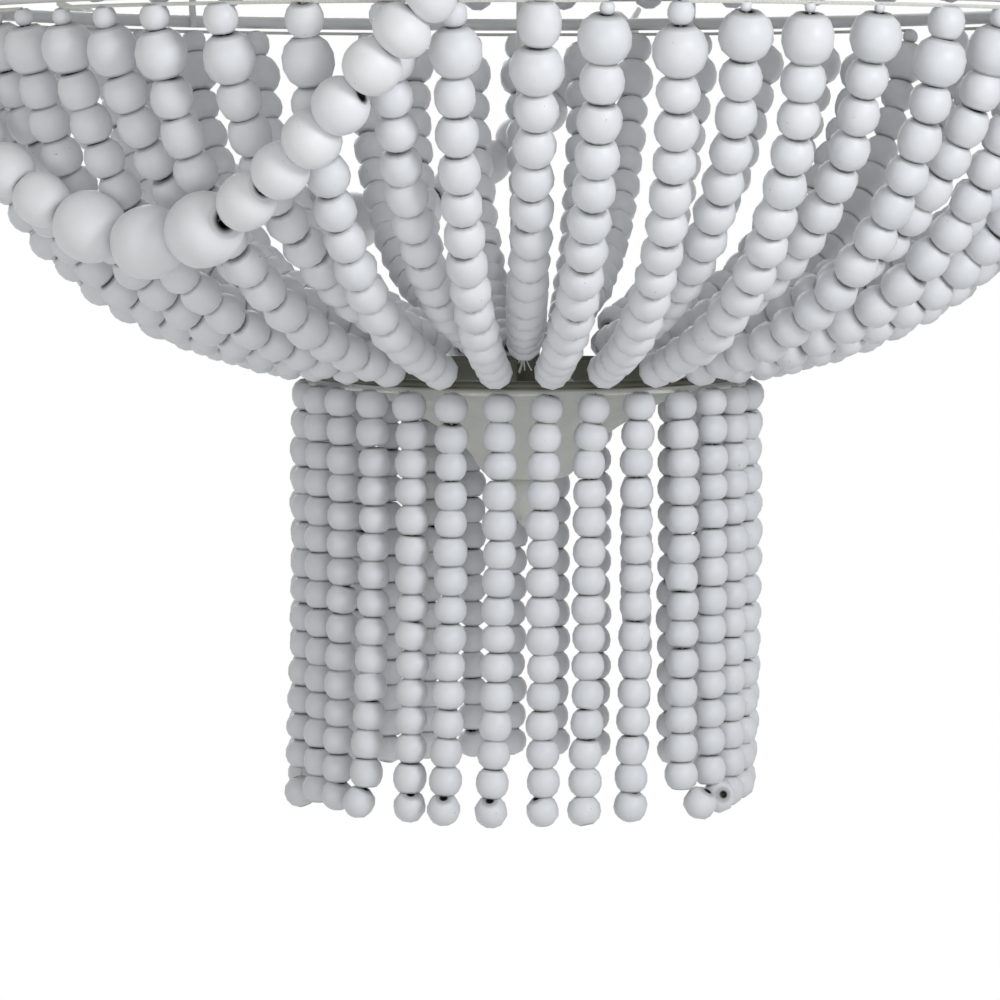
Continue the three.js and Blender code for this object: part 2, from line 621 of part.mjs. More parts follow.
function fringeStrand(turn) {
  const outline = [[0, 0]];
  for (let bead = 0; bead < FRINGE_BEADS_PER_STRAND; bead += 1) {
    outline.push([FRINGE_BEAD_RADIUS * beadNeckShare, FRINGE_BEAD_LENGTH * bead]);
    outline.push([FRINGE_BEAD_RADIUS, FRINGE_BEAD_LENGTH * (bead + 0.5)]);
  }
  outline.push([FRINGE_BEAD_RADIUS * beadNeckShare, fringeLength], [0, fringeLength]);
  const place = pointAround(turn, LOWER_RING_RADIUS, fringeTop - fringeLength);
  return turned(outline, STRAND_SIDES)
    .rotateZ(turn + Math.PI / STRAND_SIDES)
    .translate(place.x, place.y, place.z);
}

// Neighbouring strands of the fringe hang from one length of wire under the lower ring and swing together.
function fringeStrands(group) {
  const step = 2 * Math.PI / (FRINGE_GROUP_COUNT * FRINGE_STRANDS_PER_GROUP);
  const turns = Array.from({ length: FRINGE_STRANDS_PER_GROUP }, (_, index) => (
    patternTurn + step * (group * FRINGE_STRANDS_PER_GROUP + index + 0.5)));
  const wire = tieWire(LOWER_RING_RADIUS, fringeTieZ, turns, FRINGE_TIE_STEPS);
  return join([wire, ...turns.map(fringeStrand)]);
}

function beadSwag(middleTurn) {
  const small = { radius: SWAG_SMALL_BEAD_RADIUS, long: SWAG_SMALL_BEAD_LENGTH };
  const big = { radius: SWAG_BIG_BEAD_RADIUS, long: SWAG_BIG_BEAD_LENGTH };
  const side = Array(SWAG_SMALL_BEADS_PER_SIDE).fill(small);
  const beads = [...side, ...Array(SWAG_BIG_BEADS).fill(big), ...side];
  const length = beads.reduce((sum, bead) => sum + bead.long, 0);
  const outline = [[0, 0]];
  let along = 0;
  for (const { radius, long } of beads) {
    outline.push([radius * beadNeckShare, along / length]);
    for (const share of swagShoulderPlaceShares) {
      outline.push([radius, (along + long * share) / length]);
    }
    along += long;
  }
  outline.push([SWAG_SMALL_BEAD_RADIUS * beadNeckShare, 1], [0, 1]);
  return laidAlong(outline, SWAG_SIDES, new SwagCurve(middleTurn));
}

// The whole fixture

const chandelier = new THREE.Group();

function place(name, geometry, material) {
  const piece = new THREE.Mesh(geometry, material);
  piece.name = name;
  chandelier.add(piece);
}

function placeEach(count, name, make, material) {
  for (let index = 0; index < count; index += 1) place(`${name}_${index + 1}`, make(index), material);
}

place('ceiling_crossbar', ceilingCrossbar(), bareSteel);
place('ceiling_canopy', ceilingCanopy(), whitePaint);
place('canopy_nut', canopyNut(), whitePaint);
place('hanging_loop', hangingLoop(), whitePaint);
placeEach(LINK_COUNT, 'chain_link', chainLink, whitePaint);
place('top_loop', topLoop(), whitePaint);
place('center_stem', centerStem(), whitePaint);
place('crown_plate', crownPlate(), whitePaint);
place('main_ring', mainRing(), whitePaint);
place('lower_ring', lowerRing(), hubPaint);
placeEach(SECTOR_COUNT, 'frame_rib', frameRib, whitePaint);
place('hub_cup', hubCup(), hubPaint);
place('hub_finial', hubFinial(), hubPaint);

const lampTurn = (index) => patternTurn + 2 * Math.PI * index / LAMP_COUNT;
const onLampCircle = (geometry, index) => {
  const { x, y } = pointAround(lampTurn(index), LAMP_CIRCLE_RADIUS, 0);
  return geometry.translate(x, y, 0);
};
placeEach(LAMP_COUNT, 'lamp_arm', (index) => lampArm(lampTurn(index)), whitePaint);
placeEach(LAMP_COUNT, 'drip_pan', (index) => onLampCircle(dripPan(), index), whitePaint);
placeEach(LAMP_COUNT, 'lamp_socket', (index) => onLampCircle(lampSocket(), index), socketPlastic);
placeEach(LAMP_COUNT, 'candle_sleeve', (index) => onLampCircle(candleSleeve(), index), sleevePaper);
placeEach(LAMP_COUNT, 'lamp_bulb', (index) => onLampCircle(lampBulb(), index), bulbGlass);

placeEach(SECTOR_COUNT, 'tent_strands', tentStrands, beadPaint);
placeEach(SECTOR_COUNT, 'basket_strands', basketStrands, beadPaint);
placeEach(SWAG_COUNT, 'bead_swag', (index) => beadSwag(swagMiddleTurns[index]), beadPaint);
placeEach(FRINGE_GROUP_COUNT, 'fringe_strands', fringeStrands, beadPaint);

export default chandelier;
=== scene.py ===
"""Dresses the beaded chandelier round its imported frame. Lengths are in metres and +Z is up.

Every strand of the frame is replaced by separate turned beads on a cord, and every piece of wire or
sheet metal by a fine surface of the same size. Angles are counted from +X, and -Y is the front.
"""

import math

import bmesh
import bpy
import numpy as np
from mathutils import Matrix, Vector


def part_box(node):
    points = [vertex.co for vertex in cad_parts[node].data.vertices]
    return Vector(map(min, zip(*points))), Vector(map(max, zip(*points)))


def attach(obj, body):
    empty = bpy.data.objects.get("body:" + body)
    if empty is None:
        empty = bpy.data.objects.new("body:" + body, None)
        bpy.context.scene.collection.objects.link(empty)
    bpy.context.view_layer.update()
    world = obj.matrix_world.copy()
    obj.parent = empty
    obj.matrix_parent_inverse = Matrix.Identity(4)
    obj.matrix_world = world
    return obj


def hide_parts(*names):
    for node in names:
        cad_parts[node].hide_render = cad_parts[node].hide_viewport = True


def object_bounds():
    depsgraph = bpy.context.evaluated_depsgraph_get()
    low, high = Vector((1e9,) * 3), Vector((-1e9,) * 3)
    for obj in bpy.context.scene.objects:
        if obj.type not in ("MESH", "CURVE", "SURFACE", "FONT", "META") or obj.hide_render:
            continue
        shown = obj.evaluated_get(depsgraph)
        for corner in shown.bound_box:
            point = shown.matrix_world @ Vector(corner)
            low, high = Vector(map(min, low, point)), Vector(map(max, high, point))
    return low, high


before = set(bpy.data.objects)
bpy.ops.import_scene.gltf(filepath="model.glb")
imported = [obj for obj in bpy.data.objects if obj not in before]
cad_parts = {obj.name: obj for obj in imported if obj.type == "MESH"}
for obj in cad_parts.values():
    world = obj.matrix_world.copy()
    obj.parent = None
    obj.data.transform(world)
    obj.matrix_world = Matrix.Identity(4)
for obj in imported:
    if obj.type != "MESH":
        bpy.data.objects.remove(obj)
cad_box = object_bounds()

MM = 0.001

# The photograph's frame, in its own pixels
PHOTO_WIDTH = 1000
AXIS_COLUMN = 528
FOCAL_PIXELS = 3928
SENSOR_WIDTH = 36
EYE_DISTANCE = 2000 * MM
EYE_ABOVE_LOWER_RING = 119.7 * MM
EYE_TILT = math.radians(5.3)

# Frame
MAIN_RING_RADIUS = 292 * MM
MAIN_RING_WIRE = 3.5 * MM
MAIN_RING_RISE = 183.7 * MM
LOWER_RING_RADIUS = 112.5 * MM
LOWER_RING_WIRE = 2 * MM
CROWN_RISE = 254 * MM
CROWN_RADIUS = 80 * MM
CROWN_RIM_DEPTH = 9 * MM
CROWN_WALL = 2 * MM
RIB_WIRE = 2 * MM
RIB_SETBACK = 14 * MM
SPOKE_REST = 3 * MM
FIT_GAP = 0.3 * MM
TIE_GAP = 0.9 * MM
TIE_WIRE = 1.4 * MM
PEG_WIRE = 2 * MM
PEG_RISE = 9 * MM
PEG_OVERHANG = 3 * MM
STEM_RADIUS = 6 * MM
STEM_THREAD = 4 * MM
COLLAR_RADIUS = 10 * MM
COLLAR_HEIGHT = 6 * MM
COLLAR_ABOVE_MAIN_RING = 24 * MM

# Hub
HUB_RADIUS = 95 * MM
HUB_WALL = 1.6 * MM
FINIAL_RADIUS = 12.7 * MM

# Ceiling fitting and chain
CANOPY_RADIUS = 65 * MM
CANOPY_WALL = 1.5 * MM
CANOPY_SEAT = 16 * MM
NUT_RADIUS = 10 * MM
NIPPLE_RADIUS = 5.3 * MM
NUT_BORE = 5.8 * MM
LOOP_RADIUS = 12 * MM
LOOP_WIRE = 2.5 * MM
LOOP_HUB_RADIUS = 8 * MM
LINK_WIRE = 2 * MM
LINK_END_RADIUS = 9 * MM

# Lamps
LAMP_COUNT = 3
LAMP_CIRCLE = 75 * MM
ARM_WIRE = 4 * MM
ARM_DIP_BELOW_PAN = 38 * MM
PAN_RADIUS = 24 * MM
PAN_THICK = 2 * MM
PAN_RIM = 2.5 * MM
SOCKET_RADIUS = 10 * MM
SLEEVE_WALL = 1.5 * MM
BULB_RADIUS = 17.5 * MM
BULB_BASE_RADIUS = 6.5 * MM
BULB_BASE_LENGTH = 18 * MM
BULB_THREAD_DEPTH = 0.5 * MM
BULB_THREAD_TURNS = 6

# Beads
SECTOR_COUNT = 6
BASKET_BEAD = 10 * MM
BASKET_LAST_BEAD = 8.7 * MM
BASKET_TOP_BEAD = 12.25 * MM
BASKET_PITCH = 16.9 * MM
BASKET_TOP_PITCH = 22 * MM
OUTER_END = (121.5 * MM, 5.2 * MM)
INNER_END = (99 * MM, 18.5 * MM)
TENT_PER_SECTOR = 6
TENT_START_RISE = 14 * MM
TENT_TOP_RADIUS = 71 * MM
TENT_BEADS = (9 * MM, 5.5 * MM)
FRINGE_GROUPS = 10
FRINGE_PER_GROUP = 3
FRINGE_BEADS = 15
FRINGE_BEAD = 8.3 * MM
FRINGE_PITCH = 14.1 * MM
SWAG_COUNT = 3
SWAG_BIG_BEAD = 17 * MM
SWAG_SMALL_BEAD = 13 * MM
SWAG_BIG_PITCH = 37 * MM
SWAG_LOWEST_RISE = 71.4 * MM
SWAG_END_ABOVE_MAIN_RING = 4.4 * MM
CORD_RADIUS = 0.7 * MM
FIBER_RADIUS = 0.3 * MM
FIBER_LENGTH = 11 * MM
FIBERS_IN_TUFT = 9
FIBER_STRAY = 0.16

# How far hand-turned beads stray from one plain shape
RANDOM_SEED = 41
BEAD_POWER = 2.2
HOLE_SHARE = 0.2
NECK = 0.56
NECK_SPREAD = 0.05
NECK_LIMITS = (0.3, 0.85)
ROUND_NECKS = (0.38, 0.5)
RADIUS_SPREAD = (0.975, 1.025)
HALF_LENGTH_SHARES = (0.49, 0.502)
PITCH_SPREAD = 0.03
ROUGH_EDGE = 0.008
WANDER = 0.2 * MM
LEAN = 0.035
CROOKED_SHARE = 0.1
CROOKED_TIMES = 3
BASKET_BUILDS = (0.97, 1.03)
BASKET_GROWING = 4
LARGE_BEAD_PLACES = (16, 28)
FILLER_SHARE = 0.58
TENT_PITCH_SHARE = 1.7
FRINGE_SWAY = 0.9
FRINGE_DEPTH_SWAY = 0.8 * MM
FRINGE_WAVE = 0.4 * MM
FRINGE_BEND_POWER = 2.5
LAST_BEAD_SHARE = 1.08
SWAG_WANDER = 0.3 * MM
SWAG_LEAN = 0.07
SWAG_NECK = 0.45
SWAG_LENGTH_LIMIT = 0.96

# In degrees: edges sharper than this stay sharp
METAL_EDGE = 35
BEAD_EDGE = 40

# Shades of the beads' paint, as places on its row of tints. The spread within each range is the paint's
# own; the fringe's darker range is painted shade and the swags' lighter range painted light, the basket's
# range lying between.
BASKET_TONES = (0.35, 0.75)
FRINGE_SHADED_TONES = (0, 0.25)
SWAG_LIT_TONES = (0.85, 1)
WOOD_TINTS = [(0.0, (0.665, 0.68, 0.71)), (0.25, (0.695, 0.705, 0.732)), (0.35, (0.735, 0.75, 0.78)),
              (0.75, (0.76, 0.77, 0.793)), (0.85, (0.78, 0.792, 0.818)), (1.0, (0.81, 0.815, 0.83))]
# Painted shade where beads meet, for the shadow in the groove between them: how much each kind of strand
# gets, and its colour
BASKET_SEAM_SHADE = 0.9
SWAG_SEAM_SHADE = 0.5
SEAM_SHADE_COLOR = (0.24, 0.24, 0.24, 1)
WORN_COLOR = (0.38, 0.35, 0.31, 1)
# Painted shade for the shadow inside each bead's bore
BORE_SHADE_COLOR = (0.03, 0.026, 0.022, 1)
WHITE_COLOR = (0.74, 0.745, 0.74)
HUB_COLOR = (0.77, 0.78, 0.735)
# Painted shade: the dark colour that stands for the shadow inside the basket, on the hub, lower ring and
# stem
PAINTED_SHADE_COLOR = (0.07, 0.07, 0.048, 1)
METAL_SHADE = 0.93

# Room and light
WORLD_COLOR = (1, 0.99, 0.96, 1)
WORLD_STRENGTH = 0.42
FLOOR_COLOR = (0.86, 0.86, 0.86, 1)
FLOOR_DROP = 1300 * MM
FLOOR_HALF = 2400 * MM
FLOOR_FADE = (0.15, 0.75)
FLOOR_LEAST_WHITE = 0.75
MIDDLE_RISE = 50 * MM
# Where each light stands from the object's middle, its size, watts and colour
STUDIO_LIGHTS = {
    "key": ((1.1, -1.4, 0.62), 0.6, 14.5, (0.95, 0.97, 1)),
    "front": ((0, -1.95, -0.25), 1.3, 7.5, (0.96, 0.98, 1)),
    "fill": ((-1.5, -1.1, -0.1), 1.2, 2.5, (0.96, 0.98, 1)),
    "back": ((-0.5, 1.9, 0.9), 1.4, 15, (1, 1, 1)),
}

# Turns, and shapes written as shares of the sizes above
pattern_turn = math.radians(-79.5)
sector_turn = 2 * math.pi / SECTOR_COUNT
swag_turn = math.radians(-49.5)
swag_half_turn = math.radians(32)
peg_turn = math.radians(33)
basket_top_shares = np.array([0.037, 0.135, 0.235, 0.355, 0.49, 0.615, 0.712, 0.835, 0.931])
plain_rings = (1, 0.7, 0.25)
round_rings = (1, 0.96, 0.88, 0.75, 0.57, 0.35, 0.12)
basket_shares = ([0, 0.152, 0.842, 1], [0, 0.06, 0.117, 1])
tent_shares = ([0, 0.25, 0.92, 1], [0, 0.11, 0.42, 1])
rib_tent_shares = (0.85, 0.65, 0.45, 0.25)
canopy_shares = ((1, 0), (1, 0.14), (0.93, 0.4), (0.72, 0.68), (0.46, 0.88))
hub_shares = ((1, 0), (0.895, 0.2), (0.705, 0.28), (0.337, 0.685), (0.246, 0.963), (0.2, 1))
finial_shares = ((0.7, 0), (1, 0.24), (0.95, 0.46), (0.34, 0.74), (0.44, 0.86), (0, 1))
bulb_shares = ((0.45, 0), (0.9, 0.16), (1, 0.34), (0.72, 0.66), (0.3, 0.9), (0, 1))

# How single strands of the fringe hang, in millimetres: how far sideways at the top, at the foot and at the
# last bead alone, and how far that bead has slipped down
fringe_habits = {
    21: (-1, -2, 0, 0), 22: (-1, -4.5, 0, 5.5), 23: (0, -2, 0, 0), 24: (1, -4, 0, 0),
    25: (1.8, -6, -3, 1.2), 26: (1.8, -1.8, 0, 0), 27: (-0.5, -3.5, 0, 0), 28: (0.5, -5, 0, 0),
    29: (-2.4, -0.4, 0, 0), 0: (-3, -2, 0, 0), 1: (-1.5, -2.5, 0, 0), 2: (2, 0, 9, 0), 3: (1, -1, 5, 0),
    4: (0, -1, 0, 0), 5: (0, -2, 0, 0), 6: (-0.5, -3, 0, 0), 7: (-0.5, -3, 0, 0),
}
# The way that the last bead's hole points, for the strands where it is seen
last_bead_axes = {25: (0.5, -0.2, 1), 26: (0.1, -0.6, 1), 27: (0, -0.7, 1), 28: (-0.1, -0.7, 1),
                  29: (-0.5, -0.3, 1), 1: (0.2, -0.3, 1), 2: (0.6, -0.3, 1), 3: (0.3, -1, 0.3)}
# How many millimetres below the main ring's tie wire the large bead of a strand lies, by sector and strand
large_bead_places = {
    (5, 1): 21, (5, 3): 25, (5, 4): 26, (5, 6): 22.5, (5, 7): 31, (5, 8): 17,
    (0, 0): 21.5, (0, 1): 15.5, (0, 2): 15.5, (0, 3): 15,
}
swag_small_pitches = np.array([26, 24, 22.5, 22.5, 22.5, 20.5, 19.5]) * MM
# The strands, by sector and number, whose cord ends in a tuft
frayed_ends = {(5, 7), (5, 1), (0, 5), (4, 3), (3, 5), (1, 7), (2, 1)}

random = np.random.default_rng(RANDOM_SEED)


def span(node):
    """The lowest and highest height of a node of the frame."""
    low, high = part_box(node)
    return low.z, high.z


lower_ring_z = span("hub_cup")[1] - FIT_GAP
main_ring_z = lower_ring_z + MAIN_RING_RISE
crown_top = main_ring_z + CROWN_RISE
crown_under = crown_top - CROWN_WALL
basket_tie_z = main_ring_z - MAIN_RING_WIRE - TIE_GAP - TIE_WIRE
tent_tie_z = main_ring_z + TENT_START_RISE
fringe_tie_z = lower_ring_z - LOWER_RING_WIRE - TIE_GAP - TIE_WIRE


# Scene, and the camera on the photograph's side

def in_scene(name, data):
    """A new object of the data, linked to the scene."""
    thing = bpy.data.objects.new(name, data)
    bpy.context.scene.collection.objects.link(thing)
    return thing


def add_camera():
    """Stands where the photograph was taken from: level with the basket's foot, tilted a little down."""
    data = bpy.data.cameras.new("photo_camera")
    data.sensor_width = SENSOR_WIDTH
    data.lens = FOCAL_PIXELS / PHOTO_WIDTH * SENSOR_WIDTH
    camera = in_scene("photo_camera", data)
    sideways = (PHOTO_WIDTH / 2 - AXIS_COLUMN) / FOCAL_PIXELS * EYE_DISTANCE
    camera.location = (sideways, -EYE_DISTANCE, lower_ring_z + EYE_ABOVE_LOWER_RING)
    camera.rotation_euler = (math.pi / 2 - EYE_TILT, 0, 0)
    bpy.context.scene.camera = camera


add_camera()
bpy.context.scene.view_settings.view_transform = "Standard"


# Curves

def around(turn, radius, height):
    """Points at a turn about Z, a radius and a height: (r cos a, r sin a, z)."""
    turn, radius, height = np.broadcast_arrays(turn, radius, height)
    return np.stack([radius * np.cos(turn), radius * np.sin(turn), height], axis=-1)


def cubic(corners, shares):
    """A cubic curve: (1-t)^3 a + 3 t (1-t)^2 b + 3 t^2 (1-t) c + t^3 d, at each share t."""
    t = np.asarray(shares, float)[:, None]
    a, b, c, d = np.asarray(corners, float)
    return (1 - t) ** 3 * a + 3 * t * (1 - t) ** 2 * b + 3 * t ** 2 * (1 - t) * c + t ** 3 * d


def profile(start, end, shape, shares):
    """A curve of (radius, height) between two places, whose corners are shares of its reach."""
    corners = [[start[k] + (end[k] - start[k]) * shape[k][at] for k in (0, 1)] for at in range(4)]
    return cubic(corners, shares)


def beside(start, end, shape, share, distance):
    """A place beside a profile: its point plus the distance times its left-hand normal."""
    near = profile(start, end, shape, [share - 1e-4, share, share + 1e-4])
    along = (near[2] - near[0]) / np.linalg.norm(near[2] - near[0])
    return near[1] + distance * np.array([-along[1], along[0]])


def mixed(a, b, low, high, t):
    """Goes straight from a at the low knot to b at the high one."""
    return ((high - t) * a + (t - low) * b) / (high - low)


def through(places, per_span):
    """A smooth path through the places, mixed in three rounds with knots a root of the distance apart."""
    places = np.asarray(places, float)
    padded = np.vstack([2 * places[0] - places[1], places, 2 * places[-1] - places[-2]])
    knots = np.concatenate([[0], np.cumsum(np.linalg.norm(np.diff(padded, axis=0), axis=1) ** 0.5)])
    pieces = []
    for at in range(1, len(padded) - 2):
        k = knots[at - 1:at + 3]
        p = padded[at - 1:at + 3]
        t = np.linspace(k[1], k[2], per_span, endpoint=False)[:, None]
        ab, bc, cd = (mixed(p[n], p[n + 1], k[n], k[n + 1], t) for n in range(3))
        abc, bcd = mixed(ab, bc, k[0], k[2], t), mixed(bc, cd, k[1], k[3], t)
        pieces.append(mixed(abc, bcd, k[1], k[2], t))
    return np.vstack([*pieces, places[-1:]])


def softened(corners, rounds=2):
    """Cuts each inner corner of an outline: every side keeps its points at 1/4 and 3/4."""
    line = np.asarray(corners, float)
    for _ in range(rounds):
        quarter = line[:-1] * 0.75 + line[1:] * 0.25
        three = line[:-1] * 0.25 + line[1:] * 0.75
        inner = np.stack([quarter, three], axis=1).reshape(-1, 2)
        line = np.vstack([line[:1], inner[1:-1], line[-1:]])
    return line


# Surfaces

def surface(name, grids, wrapped=False, sharp=METAL_EDGE):
    """One mesh from grids of points (row, column, xyz). Columns close on themselves, wrapped rows too."""
    points, faces, base = [], [], 0
    for grid in grids:
        rows, columns = grid.shape[:2]
        index = np.arange(rows * columns).reshape(rows, columns) + base
        upper = index if wrapped else index[:-1]
        lower = np.roll(index, -1, axis=0) if wrapped else index[1:]
        quads = [upper, lower, np.roll(lower, -1, axis=1), np.roll(upper, -1, axis=1)]
        faces.append(np.stack(quads, axis=-1).reshape(-1, 4))
        points.append(grid.reshape(-1, 3))
        base += rows * columns
    points, faces = np.vstack(points), np.vstack(faces)
    mesh = bpy.data.meshes.new(name)
    mesh.vertices.add(len(points))
    mesh.vertices.foreach_set("co", points.ravel())
    mesh.loops.add(faces.size)
    mesh.loops.foreach_set("vertex_index", faces.ravel())
    mesh.polygons.add(len(faces))
    mesh.polygons.foreach_set("loop_start", np.arange(0, faces.size, 4))
    mesh.update(calc_edges=True)
    mesh.shade_smooth()
    if sharp:
        weld(mesh)
        mesh.set_sharp_from_angle(angle=math.radians(sharp))
    return in_scene(name, mesh)


def weld(mesh):
    """Draws coinciding points together, so that poles and seams close, and turns all faces outward."""
    work = bmesh.new()
    work.from_mesh(mesh)
    bmesh.ops.remove_doubles(work, verts=work.verts, dist=1e-6)
    bmesh.ops.dissolve_degenerate(work, edges=work.edges, dist=1e-7)
    bmesh.ops.recalc_face_normals(work, faces=work.faces)
    work.to_mesh(mesh)
    work.free()
    mesh.update()


def turned(outline, sides=64, center=(0, 0)):
    """A (radius, height) outline turned about a vertical line: (x + r cos a, y + r sin a, z)."""
    outline = np.asarray(outline, float)
    turn = np.linspace(0, 2 * math.pi, sides, endpoint=False)
    grid = around(turn[None, :], outline[:, :1], outline[:, 1:])
    return grid + np.array([*center, 0])


def swept(path, radius, flat, sides=10, closed=False):
    """A round section carried along a path: path + r (u cos a + v sin a), where u = along x flat."""
    path = np.asarray(path, float)
    ends = np.vstack([path[-1:], path, path[:1]]) if closed else None
    along = (ends[2:] - ends[:-2]) if closed else np.gradient(path, axis=0)
    along /= np.linalg.norm(along, axis=1, keepdims=True)
    u = np.cross(along, np.broadcast_to(flat, path.shape))
    u /= np.linalg.norm(u, axis=1, keepdims=True)
    v = np.cross(along, u)
    turn = np.linspace(0, 2 * math.pi, sides, endpoint=False)[None, :, None]
    ring = radius * (u[:, None] * np.cos(turn) + v[:, None] * np.sin(turn))
    grid = path[:, None] + ring
    if closed:
        return grid
    caps = [np.repeat(path[end][None, None], sides, axis=1) for end in (0, -1)]
    return np.vstack([caps[0], grid, caps[1]])


# Beads on a cord

def bead_rings(necks, hole, upper):
    """A bead's rings as (radius, height) shares: r = (1 - (1 - neck^p) |s|^p)^(1/p), and its mouths."""
    heights = np.concatenate([upper, -np.array(upper[::-1])])
    falls = np.abs(heights) ** BEAD_POWER
    radii = (1 - (1 - necks[:, None] ** BEAD_POWER) * falls) ** (1 / BEAD_POWER)
    mouths = np.full((len(necks), 1), hole)
    return np.hstack([mouths, radii, mouths]), np.concatenate([[1], heights, [-1]])


def strung(path, pitches, radii, wander=WANDER, lean=LEAN, neck=NECK, uneven=PITCH_SPREAD):
    """Beads along a path: each one's middle is at the middle of its share of the path's length."""
    steps = np.linalg.norm(np.diff(path, axis=0), axis=1)
    along = np.concatenate([[0], np.cumsum(steps)])
    count = len(pitches)
    pitches = np.asarray(pitches) * random.uniform(1 - uneven, 1 + uneven, count)
    pitches *= along[-1] / pitches.sum()
    middles = np.cumsum(pitches) - pitches / 2

    def at(places):
        return np.stack([np.interp(places, along, path[:, axis]) for axis in range(3)], axis=-1)

    axes = at(middles + pitches / 3) - at(middles - pitches / 3)
    axes /= np.linalg.norm(axes, axis=1, keepdims=True)
    leans = np.where(random.random((count, 1)) < CROOKED_SHARE, lean * CROOKED_TIMES, lean)
    return {
        "middles": at(middles) + random.normal(0, wander, (count, 3)),
        "axes": axes + random.normal(0, 1, (count, 3)) * leans,
        "radii": np.asarray(radii) * random.uniform(*RADIUS_SPREAD, count),
        "halves": pitches * random.uniform(*HALF_LENGTH_SHARES, count),
        "necks": random.normal(neck, NECK_SPREAD, count).clip(*NECK_LIMITS),
        "ends": (path[0], path[-1]),
    }


def beads(name, strands, sides=10, upper=plain_rings, tones=BASKET_TONES, seam_shade=BASKET_SEAM_SHADE):
    """One mesh of all beads: middle + h s axis + a r (u cos t + v sin t), for (r, s) of the bead's rings.

    Each point carries its bead's tint, whether it is in the hole's mouth, and on its rim the share of
    painted shade where beads meet.
    """
    joined = {key: np.concatenate([strand[key] for strand in strands])
              for key in ("middles", "axes", "radii", "halves", "necks")}
    axes = joined["axes"] / np.linalg.norm(joined["axes"], axis=1, keepdims=True)
    u = np.cross(axes, np.where(np.abs(axes[:, 2:]) > 0.9, (1.0, 0, 0), (0, 0, 1.0)))
    u /= np.linalg.norm(u, axis=1, keepdims=True)
    v = np.cross(axes, u)
    count = len(axes)
    across, height = bead_rings(joined["necks"], HOLE_SHARE, upper)
    turn = np.linspace(0, 2 * math.pi, sides, endpoint=False) + random.uniform(0, 1, (count, 1))
    around_axis = u[:, None] * np.cos(turn)[..., None] + v[:, None] * np.sin(turn)[..., None]
    around_axis *= random.normal(1, ROUGH_EDGE, (count, sides, 1))
    rings = (joined["radii"][:, None] * across)[:, :, None, None] * around_axis[:, None]
    rises = (joined["halves"][:, None] * height)[:, :, None, None] * axes[:, None, None]
    grid = joined["middles"][:, None, None] + rises + rings
    piece = surface(name, grid, wrapped=True, sharp=None)
    piece.data.set_sharp_from_angle(angle=math.radians(BEAD_EDGE))
    tint = np.repeat(random.uniform(*tones, count), across.shape[1] * sides)
    rows = np.arange(across.shape[1])
    from_end = np.minimum(rows, rows[::-1])
    hollow, rim = (np.tile(np.repeat(from_end <= reach, sides), count) * 1.0 for reach in (0, 1))
    for label, values in (("tint", tint), ("hollow", hollow), ("rim", rim * seam_shade)):
        piece.data.attributes.new(label, "FLOAT", "POINT").data.foreach_set("value", values)
    return piece


def cord_grids(strands, flat=(0.3, 0.9, 0.1)):
    """The cord in each strand, from its first end through every bead to its last."""
    return [swept(np.vstack([strand["ends"][0], strand["middles"], strand["ends"][1]]),
                  CORD_RADIUS, flat, sides=5) for strand in strands]


def frayed_tuft(end):
    """Loose fibres below a cord's cut end: each falls evenly and strays sideways with the fall squared."""
    grids = []
    for _ in range(FIBERS_IN_TUFT):
        fall = np.linspace(0, 1, 6)[:, None]
        stray = random.normal(0, FIBER_STRAY, 3) * (1, 1, 0)
        length = FIBER_LENGTH * random.uniform(0.6, 1.25)
        path = end + length * (fall * (0, 0, -1) + fall ** 2 * stray)
        grids.append(swept(path, FIBER_RADIUS, (1, 0.2, 0), sides=4))
    return grids


# Finishes

def shader_of(name):
    """A new material with its nodes, links and main shader."""
    material = bpy.data.materials.new(name)
    material.use_nodes = True
    tree = material.node_tree
    return material, tree.nodes, tree.links, tree.nodes["Principled BSDF"]


def noise(nodes, links, scale, detail=3):
    """Noise on the object's own coordinates, so that the pattern stays where the piece is."""
    place = nodes.new("ShaderNodeTexCoord")
    texture = nodes.new("ShaderNodeTexNoise")
    texture.inputs["Scale"].default_value = scale
    texture.inputs["Detail"].default_value = detail
    links.new(place.outputs["Object"], texture.inputs["Vector"])
    return texture.outputs["Fac"]


def attribute(nodes, label):
    """A value that each point of the piece carries."""
    node = nodes.new("ShaderNodeAttribute")
    node.attribute_name = label
    return node.outputs["Fac"]


def between(nodes, links, value, low, high, least=0):
    """A share that rises from its least at the low value to 1 at the high one."""
    node = nodes.new("ShaderNodeMapRange")
    node.inputs["To Min"].default_value = least
    node.inputs["From Min"].default_value = low
    node.inputs["From Max"].default_value = high
    links.new(value, node.inputs["Value"])
    return node.outputs["Result"]


def larger(nodes, links, first, second):
    """The larger of two shares."""
    node = nodes.new("ShaderNodeMath")
    node.operation = "MAXIMUM"
    for value, socket in zip((first, second), node.inputs):
        links.new(value, socket)
    return node.outputs[0]


def upward_part(nodes, links, vector):
    """The z of a place or a normal."""
    node = nodes.new("ShaderNodeSeparateXYZ")
    links.new(vector, node.inputs[0])
    return node.outputs["Z"]


def ramp(nodes, links, value, stops):
    """Turns a value into colours: each stop is a place from 0 to 1 and a linear colour."""
    node = nodes.new("ShaderNodeValToRGB")
    elements = node.color_ramp.elements
    while len(elements) < len(stops):
        elements.new(0.5)
    for element, (place, color) in zip(elements, stops):
        element.position = place
        element.color = (*color, 1)
    links.new(value, node.inputs["Fac"])
    return node.outputs["Color"]


